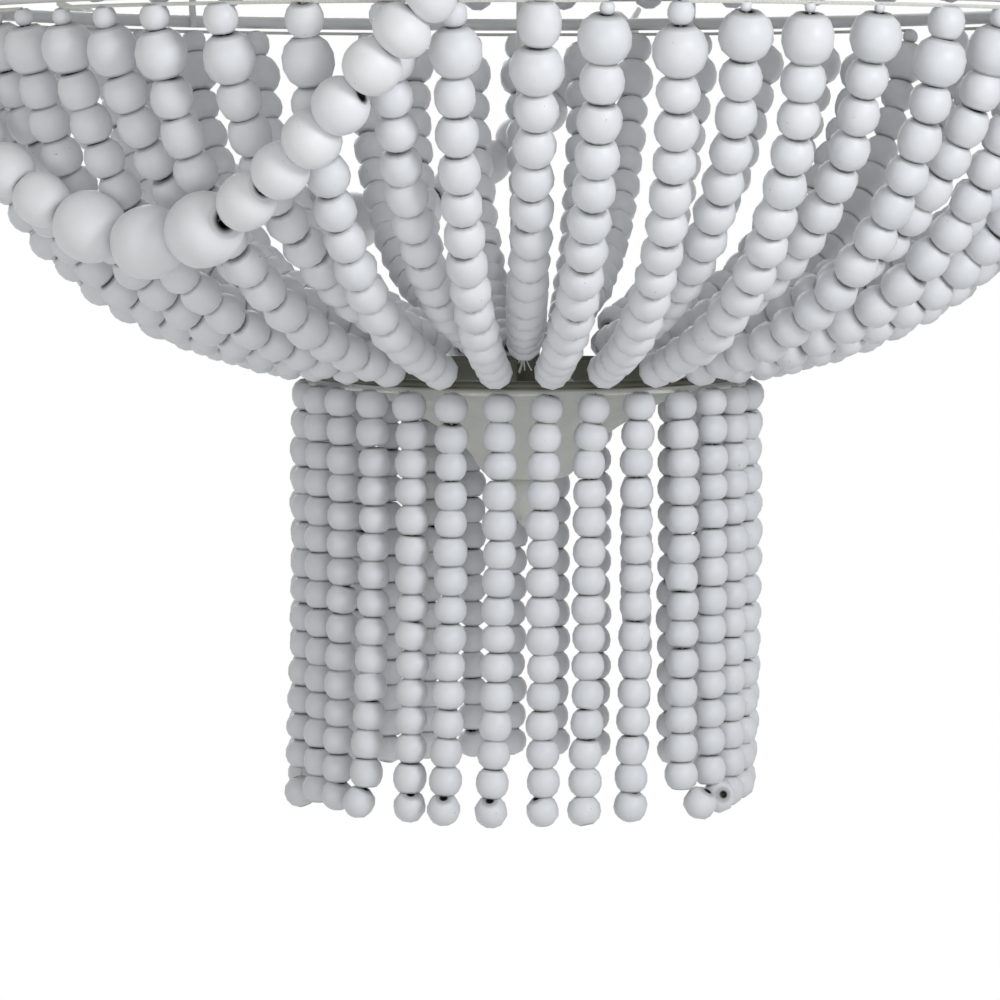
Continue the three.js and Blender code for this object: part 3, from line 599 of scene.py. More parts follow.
def blend_colors(nodes, links, share, first, second, kind="MIX"):
    """Goes from the first colour to the second by the share, each of them a socket or a plain value."""
    node = nodes.new("ShaderNodeMix")
    node.data_type = "RGBA"
    node.blend_type = kind
    wanted = {("Factor", "VALUE"): share, ("A", "RGBA"): first, ("B", "RGBA"): second}
    for socket, value in wanted.items():
        target = next(entry for entry in node.inputs if (entry.name, entry.type) == socket)
        if isinstance(value, bpy.types.NodeSocket):
            links.new(value, target)
        else:
            target.default_value = value
    return next(entry for entry in node.outputs if entry.type == "RGBA")


def bump(nodes, links, shader, height, distance, strength=1.0):
    """Fine relief under a shader's gloss."""
    node = nodes.new("ShaderNodeBump")
    node.inputs["Distance"].default_value = distance
    node.inputs["Strength"].default_value = strength
    links.new(height, node.inputs["Height"])
    links.new(node.outputs["Normal"], shader.inputs["Normal"])


def painted_wood():
    """Satin white paint on turned wood: cloudy brushing and few worn specks, with painted shade where beads
    meet and in the bore.
    """
    material, nodes, links, shader = shader_of("painted_wood")
    own = ramp(nodes, links, attribute(nodes, "tint"), WOOD_TINTS)
    cloud = ramp(nodes, links, noise(nodes, links, scale=70, detail=4), [
        (0.3, (0.955, 0.957, 0.955)), (0.62, (1, 1, 1))])
    painted = blend_colors(nodes, links, 1.0, own, cloud, "MULTIPLY")
    # Painted shade at the bead's ends, where it meets the next bead
    seam_shade = between(nodes, links, attribute(nodes, "rim"), 0.45, 1.1)
    painted = blend_colors(nodes, links, seam_shade, painted, SEAM_SHADE_COLOR)
    speck = ramp(nodes, links, noise(nodes, links, scale=520, detail=2), [
        (0.765, (0, 0, 0)), (0.78, (1, 1, 1))])
    worn = blend_colors(nodes, links, speck, painted, WORN_COLOR)
    # Painted shade filling the bore and its mouth
    inside = between(nodes, links, attribute(nodes, "hollow"), 0.4, 0.9)
    links.new(blend_colors(nodes, links, inside, worn, BORE_SHADE_COLOR), shader.inputs["Base Color"])
    sheen = ramp(nodes, links, noise(nodes, links, scale=180, detail=2), [
        (0.3, (0.42, 0.42, 0.42)), (0.7, (0.5, 0.5, 0.5))])
    links.new(sheen, shader.inputs["Roughness"])
    shader.inputs["Specular IOR Level"].default_value = 0.45
    bump(nodes, links, shader, noise(nodes, links, scale=150, detail=4), distance=0.2 * MM, strength=0.4)
    return material


def painted_metal(name, color, roughness, grain=0.08 * MM):
    """Sprayed paint: a fine orange-peel, a slightly uneven tone and a satin gloss."""
    material, nodes, links, shader = shader_of(name)
    tone = tuple(value * METAL_SHADE for value in color)
    cloud = noise(nodes, links, scale=60, detail=4)
    links.new(ramp(nodes, links, cloud, [(0.35, tone), (0.65, color)]), shader.inputs["Base Color"])
    shader.inputs["Roughness"].default_value = roughness
    bump(nodes, links, shader, noise(nodes, links, scale=900, detail=3), grain, strength=0.4)
    return material


def with_painted_shade(material, ramps):
    """Painted shade: a dark colour wherever a ramp is high, standing for the shadow inside the basket:
    (Object or Normal, the z where it begins and is full).
    """
    nodes, links = material.node_tree.nodes, material.node_tree.links
    place = nodes.new("ShaderNodeTexCoord")
    share = None
    for output, low, high in ramps:
        own = between(nodes, links, upward_part(nodes, links, place.outputs[output]), low, high)
        share = own if share is None else larger(nodes, links, share, own)
    base = nodes["Principled BSDF"].inputs["Base Color"]
    links.new(blend_colors(nodes, links, share, base.links[0].from_socket, PAINTED_SHADE_COLOR), base)
    return material


def bare_metal(name, color, roughness):
    """Plated steel with fine brushing that makes its roughness uneven."""
    material, nodes, links, shader = shader_of(name)
    shader.inputs["Base Color"].default_value = (*color, 1)
    shader.inputs["Metallic"].default_value = 1
    low, high = ((roughness * share,) * 3 for share in (0.8, 1.25))
    brushed = ramp(nodes, links, noise(nodes, links, scale=700, detail=3), [(0.3, low), (0.7, high)])
    links.new(brushed, shader.inputs["Roughness"])
    return material


def frosted_glass():
    """Milky glass: light passes, but nothing behind it shows clearly."""
    material, nodes, links, shader = shader_of("frosted_glass")
    milky = ramp(nodes, links, noise(nodes, links, scale=40, detail=2), [
        (0.3, (0.86, 0.85, 0.82)), (0.7, (0.92, 0.91, 0.88))])
    links.new(milky, shader.inputs["Base Color"])
    shader.inputs["Roughness"].default_value = 0.28
    shader.inputs["Transmission Weight"].default_value = 0.35
    shader.inputs["Coat Weight"].default_value = 0.3
    shader.inputs["Coat Roughness"].default_value = 0.15
    return material


def twisted_cord():
    """Cotton cord: off-white, with a fine uneven fuzz."""
    material, nodes, links, shader = shader_of("cotton_cord")
    cotton = ramp(nodes, links, noise(nodes, links, scale=1500, detail=2), [
        (0.35, (0.6, 0.59, 0.55)), (0.65, (0.74, 0.73, 0.7))])
    links.new(cotton, shader.inputs["Base Color"])
    shader.inputs["Roughness"].default_value = 0.9
    bump(nodes, links, shader, noise(nodes, links, scale=2200, detail=2), distance=0.3 * MM)
    return material


WOOD = painted_wood()
WHITE = painted_metal("white_enamel", WHITE_COLOR, 0.42)
# Painted shade: the hub, lower ring and spokes go dark from 3 to 5 mm under the lower ring's height upward,
# and on faces that look up, for the shadow inside the basket
HUB = with_painted_shade(painted_metal("hub_enamel_painted_shade", HUB_COLOR, 0.5),
                 [("Object", lower_ring_z - 5 * MM, lower_ring_z - 3 * MM), ("Normal", 0.1, 0.3)])
FINIAL = painted_metal("finial_enamel", HUB_COLOR, 0.5)
# Painted shade: the stem goes dark from 70 mm above the lower ring downward, fully below 30 mm, for the
# shadow inside the basket
STEM = with_painted_shade(painted_metal("stem_enamel_painted_shade", WHITE_COLOR, 0.42),
                  [("Object", lower_ring_z + 70 * MM, lower_ring_z + 30 * MM)])
STEEL = bare_metal("zinc_plate", (0.62, 0.63, 0.64), 0.34)
PLASTIC = painted_metal("socket_moulding", (0.80, 0.78, 0.72), 0.38, 0.02 * MM)
CARD = painted_metal("candle_sleeve_card", (0.82, 0.80, 0.72), 0.7, 0.15 * MM)
GLASS = frosted_glass()
CORD = twisted_cord()


def dress(piece, material, slot, body, *nodes):
    """Gives a piece its finish, lets it stand for the frame's nodes, and fixes it to a body. The slot is
    not used.
    """
    piece.data.materials.append(material)
    if nodes:
        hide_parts(*nodes)
    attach(piece, body)
    return piece


def enamel(name, grids, body="cage", wrapped=False, material=WHITE, slot="frame_paint"):
    """A painted metal piece that stands for the node of its own name, less its last word."""
    piece = surface(f"{name}_paint", grids, wrapped)
    return dress(piece, material, slot, body, name)


# Ceiling fitting and chain

def standing_ring(height, flat):
    """A wire ring of the loop's radius that stands upright, square to the flat direction."""
    turn = np.linspace(0, 2 * math.pi, 48, endpoint=False)
    side = np.cross(flat, (0, 0, 1))
    path = LOOP_RADIUS * (np.cos(turn)[:, None] * side + np.sin(turn)[:, None] * np.array([0, 0, 1.0]))
    return swept(path + (0, 0, height), LOOP_WIRE, flat, closed=True)


def loop_hub(low, high, solid_end):
    """The turned hub of a loop, rounded where its ring stands on it."""
    shoulder = LOOP_HUB_RADIUS * 0.6
    outline = [(0, low), (LOOP_HUB_RADIUS, low), (LOOP_HUB_RADIUS, high - LOOP_WIRE),
               (shoulder, high), (0, high)]
    if solid_end == "low":
        outline = [(radius, low + high - height) for radius, height in outline]
    return np.asarray(outline)


def add_ceiling_fitting():
    """Crossbar, canopy, nut and the two loops that the chain hangs between."""
    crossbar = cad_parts["ceiling_crossbar"]
    crossbar.data.materials.clear()
    crossbar.data.materials.append(STEEL)

    low, high = span("ceiling_canopy")
    depth = high - low
    outside = softened([(CANOPY_RADIUS * r, high - depth * z) for r, z in canopy_shares])
    inside = np.minimum(outside + (-CANOPY_WALL, CANOPY_WALL), (CANOPY_RADIUS, high))
    outline = np.vstack([[(NIPPLE_RADIUS, low), (CANOPY_SEAT, low)], outside[::-1], inside,
                         [(CANOPY_SEAT, low + CANOPY_WALL), (NIPPLE_RADIUS, low + CANOPY_WALL)]])
    enamel("ceiling_canopy", [turned(outline, 96)], "ceiling_fitting", wrapped=True)

    low, high = span("canopy_nut")
    edge = (high - low) / 4
    nut = [(NUT_BORE, low), (NUT_RADIUS - edge, low), (NUT_RADIUS, low + edge),
           (NUT_RADIUS, high - edge), (NUT_RADIUS - edge, high), (NUT_BORE, high)]
    enamel("canopy_nut", [turned(nut, 48)], "canopy_nut", wrapped=True)

    low, high = span("hanging_loop")
    ring_z = low + LOOP_RADIUS + LOOP_WIRE
    loop = [turned(loop_hub(ring_z + LOOP_RADIUS - LOOP_WIRE / 2, high, "low"), 40)]
    piece = enamel("hanging_loop", loop, "ceiling_fitting")
    add_ring(piece, standing_ring(ring_z, (0, 1, 0)))

    low, high = span("top_loop")
    ring_z = high - LOOP_RADIUS - LOOP_WIRE
    piece = enamel("top_loop", [turned(loop_hub(low, ring_z - LOOP_RADIUS + LOOP_WIRE / 2, "high"), 40)])
    add_ring(piece, standing_ring(ring_z, (0, 1, 0)))


def add_ring(piece, grid):
    """Adds a closed ring to a piece that is one mesh with it."""
    ring = surface("ring", [grid], wrapped=True)
    work = bmesh.new()
    work.from_mesh(piece.data)
    work.from_mesh(ring.data)
    work.to_mesh(piece.data)
    work.free()
    bpy.data.objects.remove(ring)


def add_chain():
    """Each link is a ring with its upper and lower halves pulled apart, a quarter turn from the next."""
    for number in (1, 2, 3):
        low, high = span(f"chain_link_{number}")
        turn = np.linspace(0, 2 * math.pi, 64, endpoint=False) + math.pi / 64
        pull = (high - low) / 2 - LINK_WIRE - LINK_END_RADIUS
        upright = LINK_END_RADIUS * np.sin(turn) + np.sign(np.sin(turn)) * pull + (low + high) / 2
        across = LINK_END_RADIUS * np.cos(turn)
        blank = np.zeros_like(across)
        path = [across, blank, upright] if number % 2 == 0 else [blank, across, upright]
        flat = (0, 1, 0) if number % 2 == 0 else (1, 0, 0)
        link = swept(np.stack(path, axis=1), LINK_WIRE, flat, closed=True)
        enamel(f"chain_link_{number}", [link], f"chain_link_{number}", wrapped=True)


# Cage

def add_stem():
    """A turned rod with three collars: on the hub's floor, at the lamp arms and under the crown."""
    low, high = span("center_stem")
    seat = span("hub_cup")[0] + HUB_WALL + FIT_GAP
    crown_seat = crown_under - FIT_GAP
    outline = [(0, low), (STEM_THREAD, low), (STEM_THREAD, seat), (COLLAR_RADIUS, seat),
               (COLLAR_RADIUS, seat + COLLAR_HEIGHT), (STEM_RADIUS, seat + COLLAR_HEIGHT)]
    collar = main_ring_z + COLLAR_ABOVE_MAIN_RING - COLLAR_HEIGHT / 2
    outline += [(STEM_RADIUS, collar - STEM_RADIUS / 2), (COLLAR_RADIUS, collar),
                (COLLAR_RADIUS, collar + COLLAR_HEIGHT),
                (STEM_RADIUS, collar + COLLAR_HEIGHT + STEM_RADIUS / 2)]
    outline += [(STEM_RADIUS, crown_seat - COLLAR_HEIGHT), (COLLAR_RADIUS, crown_seat - COLLAR_HEIGHT),
                (COLLAR_RADIUS, crown_seat), (STEM_THREAD, crown_seat), (STEM_THREAD, high), (0, high)]
    enamel("center_stem", [turned(outline, 32)], material=STEM)


def add_crown():
    """A shallow turned cap with a rim, bored for the stem."""
    bore = STEM_THREAD + FIT_GAP
    rim = crown_top - CROWN_RIM_DEPTH
    outside = softened([(CROWN_RADIUS, rim), (CROWN_RADIUS, crown_top - CROWN_RIM_DEPTH / 2),
                        (CROWN_RADIUS - CROWN_RIM_DEPTH, crown_top), (bore, crown_top)])
    inside = outside[::-1] - (0, CROWN_WALL)
    wall = CROWN_RADIUS - CROWN_WALL
    inside = np.where(inside[:, :1] > wall, (wall, rim), inside)
    inside[:, 1] = np.maximum(inside[:, 1], rim)
    enamel("crown_plate", [turned(np.vstack([outside, inside]), 96)], wrapped=True)


basket_start = (OUTER_END[0], lower_ring_z + OUTER_END[1])
basket_inner = (INNER_END[0], lower_ring_z + INNER_END[1])
basket_end = (MAIN_RING_RADIUS, basket_tie_z)
tent_start = (MAIN_RING_RADIUS, tent_tie_z)
tent_end = (TENT_TOP_RADIUS, crown_top - CROWN_RIM_DEPTH - FIT_GAP)
BASKET = (basket_start, basket_end, basket_shares)
TENT = (tent_start, tent_end, tent_shares)
swag_distance = BASKET_BEAD * math.sqrt(0.5) + SWAG_BIG_BEAD + FIT_GAP
swag_middles = [pattern_turn + swag_turn + 2 * math.pi * number / SWAG_COUNT
                for number in range(SWAG_COUNT)]


def swag_path(middle):
    """A swag rises from its lowest bead with the square of its turn, and lies on the basket's skin."""
    turn = np.linspace(-swag_half_turn, swag_half_turn, 161)
    rise = MAIN_RING_RISE + SWAG_END_ABOVE_MAIN_RING - SWAG_LOWEST_RISE
    height = lower_ring_z + SWAG_LOWEST_RISE + rise * (turn / swag_half_turn) ** 2
    skin = np.array([beside(*BASKET, share, -swag_distance) for share in np.linspace(0.001, 1, 240)])
    return around(middle + turn, np.interp(height, skin[:, 1], skin[:, 0]), height)


peg_tip_radius = math.hypot(*swag_path(0)[-1][:2]) + PEG_OVERHANG


def peg_grids():
    """The six small pegs on the main ring that the swags hang from."""
    grids = []
    for middle in swag_middles:
        for side in (-peg_turn, peg_turn):
            root = around(middle + side, MAIN_RING_RADIUS, main_ring_z)
            tip = around(middle + side, peg_tip_radius, main_ring_z + PEG_RISE)
            path = np.linspace(root, tip, 4)
            grids.append(swept(path, PEG_WIRE, (0, 0, 1), sides=12))
    return grids


def level_ring(radius, height, wire, steps=180):
    """A wire ring that lies level: its path is (r cos a, r sin a, z)."""
    turn = np.linspace(0, 2 * math.pi, steps, endpoint=False)
    return swept(around(turn, radius, height), wire, (0, 0, 1), sides=12, closed=True)


def spoke_grids():
    """Short wires from the hub's rim out to the lower ring."""
    height = lower_ring_z + FIT_GAP * 2 + LOWER_RING_WIRE
    stops = [(HUB_RADIUS - SPOKE_REST, height), (HUB_RADIUS, height), (LOWER_RING_RADIUS, lower_ring_z)]
    grids = []
    for number in range(SECTOR_COUNT):
        turn = pattern_turn + sector_turn * number
        path = through([around(turn, radius, z) for radius, z in stops], 6)
        grids.append(swept(path, LOWER_RING_WIRE, (-math.sin(turn), math.cos(turn), 0), sides=12))
    return grids


def add_rings():
    """The main ring with its pegs, and the lower ring with its spokes."""
    main = enamel("main_ring", peg_grids())
    add_ring(main, level_ring(MAIN_RING_RADIUS, main_ring_z, MAIN_RING_WIRE))
    lower = enamel("lower_ring", spoke_grids(), material=HUB, slot="hub_paint")
    add_ring(lower, level_ring(LOWER_RING_RADIUS, lower_ring_z, LOWER_RING_WIRE))


def add_ribs():
    """Six wires that run inside the strands, from the crown down to the main ring."""
    crown_end = beside(*TENT, 1, RIB_SETBACK)[0]
    ring = MAIN_RING_RADIUS - MAIN_RING_WIRE - FIT_GAP - RIB_WIRE
    stops = [(crown_end, crown_under - FIT_GAP), (crown_end, crown_under - FIT_GAP - RIB_SETBACK)]
    stops += [beside(*TENT, share, RIB_SETBACK) for share in rib_tent_shares]
    stops += [(ring, main_ring_z + RIB_SETBACK), (ring, main_ring_z - MAIN_RING_WIRE)]
    for number in range(SECTOR_COUNT):
        turn = pattern_turn + sector_turn * (number + 0.5)
        path = through([around(turn, radius, height) for radius, height in stops], 6)
        flat = (-math.sin(turn), math.cos(turn), 0)
        enamel(f"frame_rib_{number + 1}", [swept(path, RIB_WIRE, flat, sides=10)])


def add_hub():
    """The spun funnel under the lower ring and the turned finial below it."""
    low, high = span("hub_cup")
    depth = high - low
    bore = STEM_THREAD + FIT_GAP
    outside = softened([(HUB_RADIUS * r, high - depth * z) for r, z in hub_shares])
    inside = outside + (-HUB_WALL, HUB_WALL)
    inside[:, 1] = np.minimum(inside[:, 1], high)
    outline = np.vstack([[(bore, low)], outside[::-1], inside, [(bore, low + HUB_WALL)]])
    enamel("hub_cup", [turned(outline, 96)], wrapped=True, material=HUB, slot="hub_paint")
    low, high = span("hub_finial")
    ball = softened([(FINIAL_RADIUS * r, high - (high - low) * z) for r, z in finial_shares])
    outline = np.vstack([[(0, high)], ball])
    enamel("hub_finial", [turned(outline, 48)], "finial", material=FINIAL, slot="hub_paint")


# Lamps

def lamp_outlines():
    """The outline of each lamp piece, all lamps being alike."""
    pan_z = span("drip_pan_1")[0]
    rim = PAN_RADIUS - PAN_RIM
    pan = [(0, pan_z), (rim, pan_z), (PAN_RADIUS, pan_z + PAN_RIM),
           (PAN_RADIUS, pan_z + PAN_RIM + PAN_THICK), (rim, pan_z + PAN_THICK), (0, pan_z + PAN_THICK)]
    low, high = span("lamp_socket_1")
    bore = BULB_BASE_RADIUS + FIT_GAP
    floor = span("lamp_bulb_1")[0] - FIT_GAP
    socket = [(0, low), (SOCKET_RADIUS, low), (SOCKET_RADIUS, high),
              (bore, high), (bore, floor), (0, floor)]
    low, high = span("candle_sleeve_1")
    inner = SOCKET_RADIUS + FIT_GAP
    sleeve = [(inner, low), (inner + SLEEVE_WALL, low), (inner + SLEEVE_WALL, high), (inner, high)]
    return pan, socket, sleeve


def bulb_outlines():
    """The glass, and its screw: a cylinder whose radius follows a cosine of the height."""
    low, high = span("lamp_bulb_1")
    glass_z = low + BULB_BASE_LENGTH
    glass = softened([(BULB_RADIUS * r, glass_z + (high - glass_z) * z) for r, z in bulb_shares], 3)
    height = np.linspace(low, glass_z, BULB_THREAD_TURNS * 8 + 1)
    wave = np.cos((height - low) / BULB_BASE_LENGTH * BULB_THREAD_TURNS * 2 * math.pi)
    base = np.stack([BULB_BASE_RADIUS - BULB_THREAD_DEPTH * (1 - wave) / 2, height], axis=1)
    return np.vstack([[(0, glass_z)], glass]), np.vstack([[(0, low)], base, [(0, glass_z)]])


def add_lamps():
    """Three lamps round the stem, each an arm, drip pan, socket, candle sleeve and bulb."""
    pan, socket, sleeve = lamp_outlines()
    glass, base = bulb_outlines()
    inner = COLLAR_RADIUS + FIT_GAP
    collar_z = main_ring_z + COLLAR_ABOVE_MAIN_RING
    pan_z = span("drip_pan_1")[0]
    for number in range(LAMP_COUNT):
        turn = pattern_turn + 2 * math.pi * number / LAMP_COUNT
        center = LAMP_CIRCLE * math.cos(turn), LAMP_CIRCLE * math.sin(turn)
        label = number + 1
        corners = [around(turn, radius, height) for radius, height in (
            (inner, collar_z), ((inner + LAMP_CIRCLE) / 2, collar_z),
            (LAMP_CIRCLE, pan_z - ARM_DIP_BELOW_PAN), (LAMP_CIRCLE, pan_z - FIT_GAP))]
        flat = (-math.sin(turn), math.cos(turn), 0)
        arm = swept(cubic(corners, np.linspace(0, 1, 28)), ARM_WIRE, flat, sides=14)
        enamel(f"lamp_arm_{label}", [arm])
        enamel(f"drip_pan_{label}", [turned(pan, 48, center)])
        enamel(f"lamp_socket_{label}", [turned(socket, 32, center)],
               material=PLASTIC, slot="socket_plastic")
        enamel(f"candle_sleeve_{label}", [turned(sleeve, 32, center)], wrapped=True,
               material=CARD, slot="sleeve_card")
        bulb = surface(f"bulb_glass_{label}", [turned(glass, 40, center)])
        dress(bulb, GLASS, "bulb_glass", f"bulb_{label}", f"lamp_bulb_{label}")
        screw = surface(f"bulb_screw_{label}", [turned(base, 32, center)])
        dress(screw, STEEL, "zinc_steel", f"bulb_{label}")


# Strands

def tie_wire(radius, height, turns):
    """The wire that a group of strands hangs from: an arc from its first strand to its last."""
    path = around(np.linspace(turns[0], turns[-1], 24), radius, height)
    return swept(path, TIE_WIRE * 0.7, (0, 0, 1), sides=6)


def rising_path(start, end, shape, start_turn, end_turn):
    """A strand's route: its profile, turning steadily about Z from its first turn to its last."""
    shares = np.linspace(0, 1, 80)
    place = profile(start, end, shape, shares)
    return around(start_turn + (end_turn - start_turn) * shares, place[:, 0], place[:, 1])


def path_length(path):
    """The sum of the steps between a path's points."""
    return np.linalg.norm(np.diff(path, axis=0), axis=1).sum()


def basket_strand(start, end_turn, top_turn, place):
    """Beads grow to full size within four, then comes the large one, and one bead fills the rest above."""
    path = rising_path(start, basket_end, basket_shares, end_turn, top_turn)
    above = place - BASKET_TOP_PITCH / 2
    reach = path_length(path) - BASKET_TOP_PITCH - above
    count = round(reach / BASKET_PITCH)
    grown = np.clip(np.arange(count) / BASKET_GROWING, 0, 1)
    build = random.uniform(*BASKET_BUILDS)
    radii = (BASKET_LAST_BEAD + (BASKET_BEAD - BASKET_LAST_BEAD) * grown) * build
    pitches = BASKET_PITCH * radii / radii[-1]
    pitches *= reach / pitches.sum()
    strand = strung(path, [*pitches, BASKET_TOP_PITCH, above],
                    [*radii, BASKET_TOP_BEAD, min(FILLER_SHARE * above, BASKET_BEAD)])
    strand["necks"][:BASKET_GROWING] = random.uniform(*ROUND_NECKS, BASKET_GROWING)
    strand["necks"][-2] = ROUND_NECKS[1]
    return strand


def add_basket():
    """Six sectors of strands from the lower ring to the main ring, every second one starting further in."""
    end_step = sector_turn / (len(basket_top_shares) + 1)
    for sector in range(SECTOR_COUNT):
        start = pattern_turn + sector_turn * sector
        top_turns = start + sector_turn * basket_top_shares
        places = [large_bead_places.get((sector, at), random.uniform(*LARGE_BEAD_PLACES)) * MM
                  for at in range(len(top_turns))]
        strands = [basket_strand(basket_inner if at % 2 else basket_start, start + end_step * (at + 1),
                                 top_turns[at], place) for at, place in enumerate(places)]
        label = sector + 1
        piece = beads(f"basket_beads_{label}", strands)
        dress(piece, WOOD, "painted_beads", "cage", f"basket_strands_{label}")
        cords = cord_grids(strands) + [tie_wire(MAIN_RING_RADIUS, basket_tie_z, top_turns)]
        for at, strand in enumerate(strands):
            if (sector, at) in frayed_ends:
                cords += frayed_tuft(strand["ends"][0])
        dress(surface(f"basket_cords_{label}", cords), CORD, "painted_beads", "cage")


def add_tent():
    """Six groups of strands that rise from the main ring to the crown."""
    for sector in range(SECTOR_COUNT):
        shares = (sector + (np.arange(TENT_PER_SECTOR) + 0.5) / TENT_PER_SECTOR)
        turns = pattern_turn + sector_turn * shares
        strands = [tent_strand(turn) for turn in turns]
        label = sector + 1
        piece = beads(f"tent_beads_{label}", strands)
        dress(piece, WOOD, "painted_beads", "cage", f"tent_strands_{label}")
        cords = cord_grids(strands) + [tie_wire(MAIN_RING_RADIUS, tent_tie_z, turns)]
        dress(surface(f"tent_cords_{label}", cords), CORD, "painted_beads", "cage")


def tent_strand(turn):
    """Beads that shrink steadily from the main ring to the crown, their length a share of their radius."""
    path = rising_path(tent_start, tent_end, tent_shares, turn, turn)
    count = round(path_length(path) / (TENT_PITCH_SHARE * sum(TENT_BEADS) / 2))
    radii = np.linspace(*TENT_BEADS, count)
    return strung(path, TENT_PITCH_SHARE * radii, radii)


def fringe_strand(number, turn):
    """Beads that hang down: x drifts with a power of the fall, plus a sine, and the last bead strays."""
    habit = fringe_habits.get(number, (*random.normal(0, FRINGE_SWAY, 2), 0, 0))
    top, foot, last, drop = np.array(habit) * MM
    height = np.linspace(fringe_tie_z, fringe_tie_z + TIE_WIRE - FRINGE_PITCH * FRINGE_BEADS, 60)
    fall = (height[0] - height) / (height[0] - height[-1])
    path = around(turn, LOWER_RING_RADIUS, height)
    bend = random.uniform(0, 2 * math.pi)
    path[:, 0] += top * np.minimum(fall * 8, 1) + foot * fall ** FRINGE_BEND_POWER
    path[:, 0] += FRINGE_WAVE * np.sin(bend + 6 * fall) * fall
    path[:, 1] += random.normal(0, FRINGE_DEPTH_SWAY) * fall
    strand = strung(path, [FRINGE_PITCH] * FRINGE_BEADS, [FRINGE_BEAD] * FRINGE_BEADS, neck=0.57)
    strand["middles"][-1] += (last, 0, -drop)
    strand["ends"] = (strand["ends"][0], strand["middles"][-1] - (0, 0, FRINGE_BEAD / 2))
    strand["axes"][-1] = last_bead_axes.get(number, random.normal((0, 0, 1), 0.2))
    strand["necks"][[0, -1]] = ROUND_NECKS[::-1]
    strand["halves"][-1] *= LAST_BEAD_SHARE
    return strand


def add_fringe():
    """Ten groups of three straight strands under the lower ring."""
    step = 2 * math.pi / (FRINGE_GROUPS * FRINGE_PER_GROUP)
    for group in range(FRINGE_GROUPS):
        numbers = group * FRINGE_PER_GROUP + np.arange(FRINGE_PER_GROUP)
        turns = pattern_turn + step * (numbers + 0.5)
        strands = [fringe_strand(int(number), turn) for number, turn in zip(numbers, turns)]
        label = group + 1
        # The fringe's darker tones are painted shade
        piece = beads(f"fringe_beads_{label}", strands, tones=FRINGE_SHADED_TONES)
        dress(piece, WOOD, "painted_beads", f"fringe_{label}", f"fringe_strands_{label}")
        cords = cord_grids(strands) + [tie_wire(LOWER_RING_RADIUS, fringe_tie_z, turns)]
        dress(surface(f"fringe_cords_{label}", cords), CORD, "painted_beads", f"fringe_{label}")


def add_swags():
    """Seventeen round beads to a swag, the middle three the largest, on a cord between its two pegs."""
    small = np.full(len(swag_small_pitches), SWAG_SMALL_BEAD)
    radii = np.concatenate([small, [SWAG_BIG_BEAD] * 3, small])
    pitches = np.concatenate([swag_small_pitches[::-1], [SWAG_BIG_PITCH] * 3, swag_small_pitches])
    for number, middle in enumerate(swag_middles):
        label = number + 1
        strand = strung(swag_path(middle), pitches, radii, SWAG_WANDER, SWAG_LEAN, SWAG_NECK, uneven=0)
        strand["halves"] = np.minimum(strand["halves"], strand["radii"] * SWAG_LENGTH_LIMIT)
        # The swags' lighter tones are painted light, and where their beads meet, painted shade
        piece = beads(f"swag_beads_{label}", [strand], sides=24, upper=round_rings,
                      tones=SWAG_LIT_TONES, seam_shade=SWAG_SEAM_SHADE)
        body = f"swag_{label}"
        dress(piece, WOOD, "painted_beads", body, f"bead_swag_{label}")
        dress(surface(f"swag_cord_{label}", cord_grids([strand])), CORD, "painted_beads", body)


add_ceiling_fitting()
add_chain()
add_stem()
add_crown()
add_rings()
add_ribs()
add_hub()
add_lamps()
add_basket()
add_tent()
add_fringe()
add_swags()


# Room and light

def white_to_the_eye(tree, plain, output):
    """Mixes the plain shading with white that only the camera, gloss and clear glass see."""
    nodes, links = tree.nodes, tree.links
    path = nodes.new("ShaderNodeLightPath")
    seen = path.outputs["Is Camera Ray"]
    for other in ("Is Glossy Ray", "Is Transmission Ray"):
        seen = larger(nodes, links, seen, path.outputs[other])
    mix = nodes.new("ShaderNodeMixShader")
    links.new(seen, mix.inputs["Fac"])
    links.new(plain, mix.inputs[1])
    links.new(mix.outputs[0], output)
    return mix


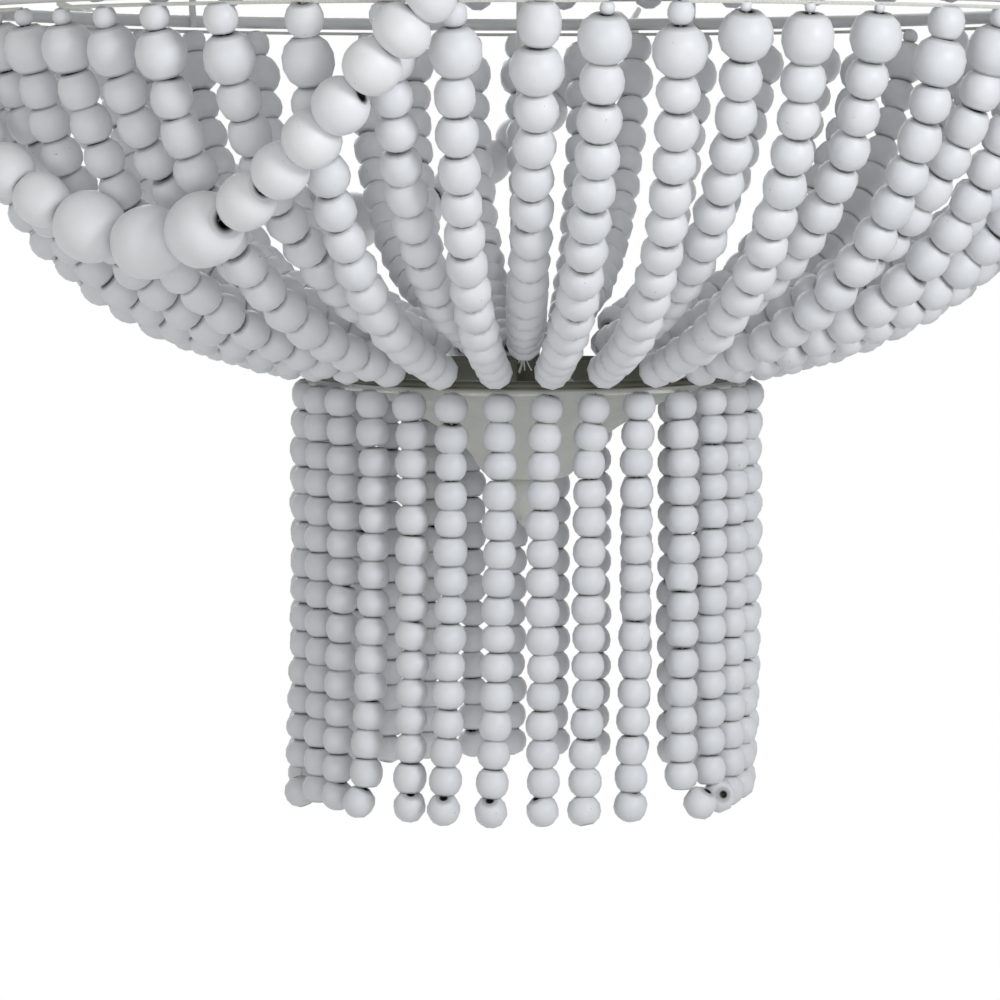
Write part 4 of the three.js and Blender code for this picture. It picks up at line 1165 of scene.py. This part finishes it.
def add_world():
    """A soft even sky that the camera sees as plain white."""
    world = bpy.data.worlds.new("studio")
    bpy.context.scene.world = world
    world.use_nodes = True
    nodes = world.node_tree.nodes
    dim = nodes["Background"]
    dim.inputs["Color"].default_value = WORLD_COLOR
    dim.inputs["Strength"].default_value = WORLD_STRENGTH
    bright = nodes.new("ShaderNodeBackground")
    bright.inputs["Color"].default_value = (1, 1, 1, 1)
    output = nodes["World Output"].inputs["Surface"]
    mix = white_to_the_eye(world.node_tree, dim.outputs[0], output)
    world.node_tree.links.new(bright.outputs[0], mix.inputs[2])


def add_floor():
    """A pale floor whose shadow shows under the object and fades to plain white before its edge."""
    height = cad_box[0][2] - FLOOR_DROP
    corners = [(x, y, height) for x, y in ((-1, -1), (1, -1), (1, 1), (-1, 1))]
    corners = [(x * FLOOR_HALF, y * FLOOR_HALF, z) for x, y, z in corners]
    mesh = bpy.data.meshes.new("floor")
    mesh.from_pydata(corners, [], [(0, 1, 2, 3)])
    floor = in_scene("floor", mesh)
    material, nodes, links, shader = shader_of("pale_floor")
    shader.inputs["Base Color"].default_value = FLOOR_COLOR
    shader.inputs["Roughness"].default_value = 0.9
    place = nodes.new("ShaderNodeTexCoord")
    reach = nodes.new("ShaderNodeVectorMath")
    reach.operation = "LENGTH"
    links.new(place.outputs["Object"], reach.inputs[0])
    glow = nodes.new("ShaderNodeEmission")
    share = nodes.new("ShaderNodeMixShader")
    near, far = (math.hypot(height, distance * FLOOR_HALF) for distance in FLOOR_FADE)
    white = between(nodes, links, reach.outputs["Value"], near, far, FLOOR_LEAST_WHITE)
    links.new(white, share.inputs["Fac"])
    links.new(shader.outputs[0], share.inputs[1])
    links.new(glow.outputs[0], share.inputs[2])
    output = nodes["Material Output"].inputs["Surface"]
    mix = white_to_the_eye(material.node_tree, shader.outputs[0], output)
    links.new(share.outputs[0], mix.inputs[2])
    mesh.materials.append(material)


def add_studio_light(name, offset, size, watts, color):
    """A soft round light that stands at an offset from the object's middle and faces it."""
    data = bpy.data.lights.new(name, "AREA")
    data.shape = "DISK"
    data.size = size
    data.energy = watts
    data.color = color
    light = in_scene(name, data)
    middle = (0, 0, lower_ring_z + MIDDLE_RISE)
    light.location = np.add(middle, offset)
    direction = np.negative(offset)
    light.rotation_euler = (math.acos(-direction[2] / np.linalg.norm(direction)), 0,
                            math.atan2(direction[1], direction[0]) - math.pi / 2)


add_world()
add_floor()
for light_name, setting in STUDIO_LIGHTS.items():
    add_studio_light(light_name, *setting)
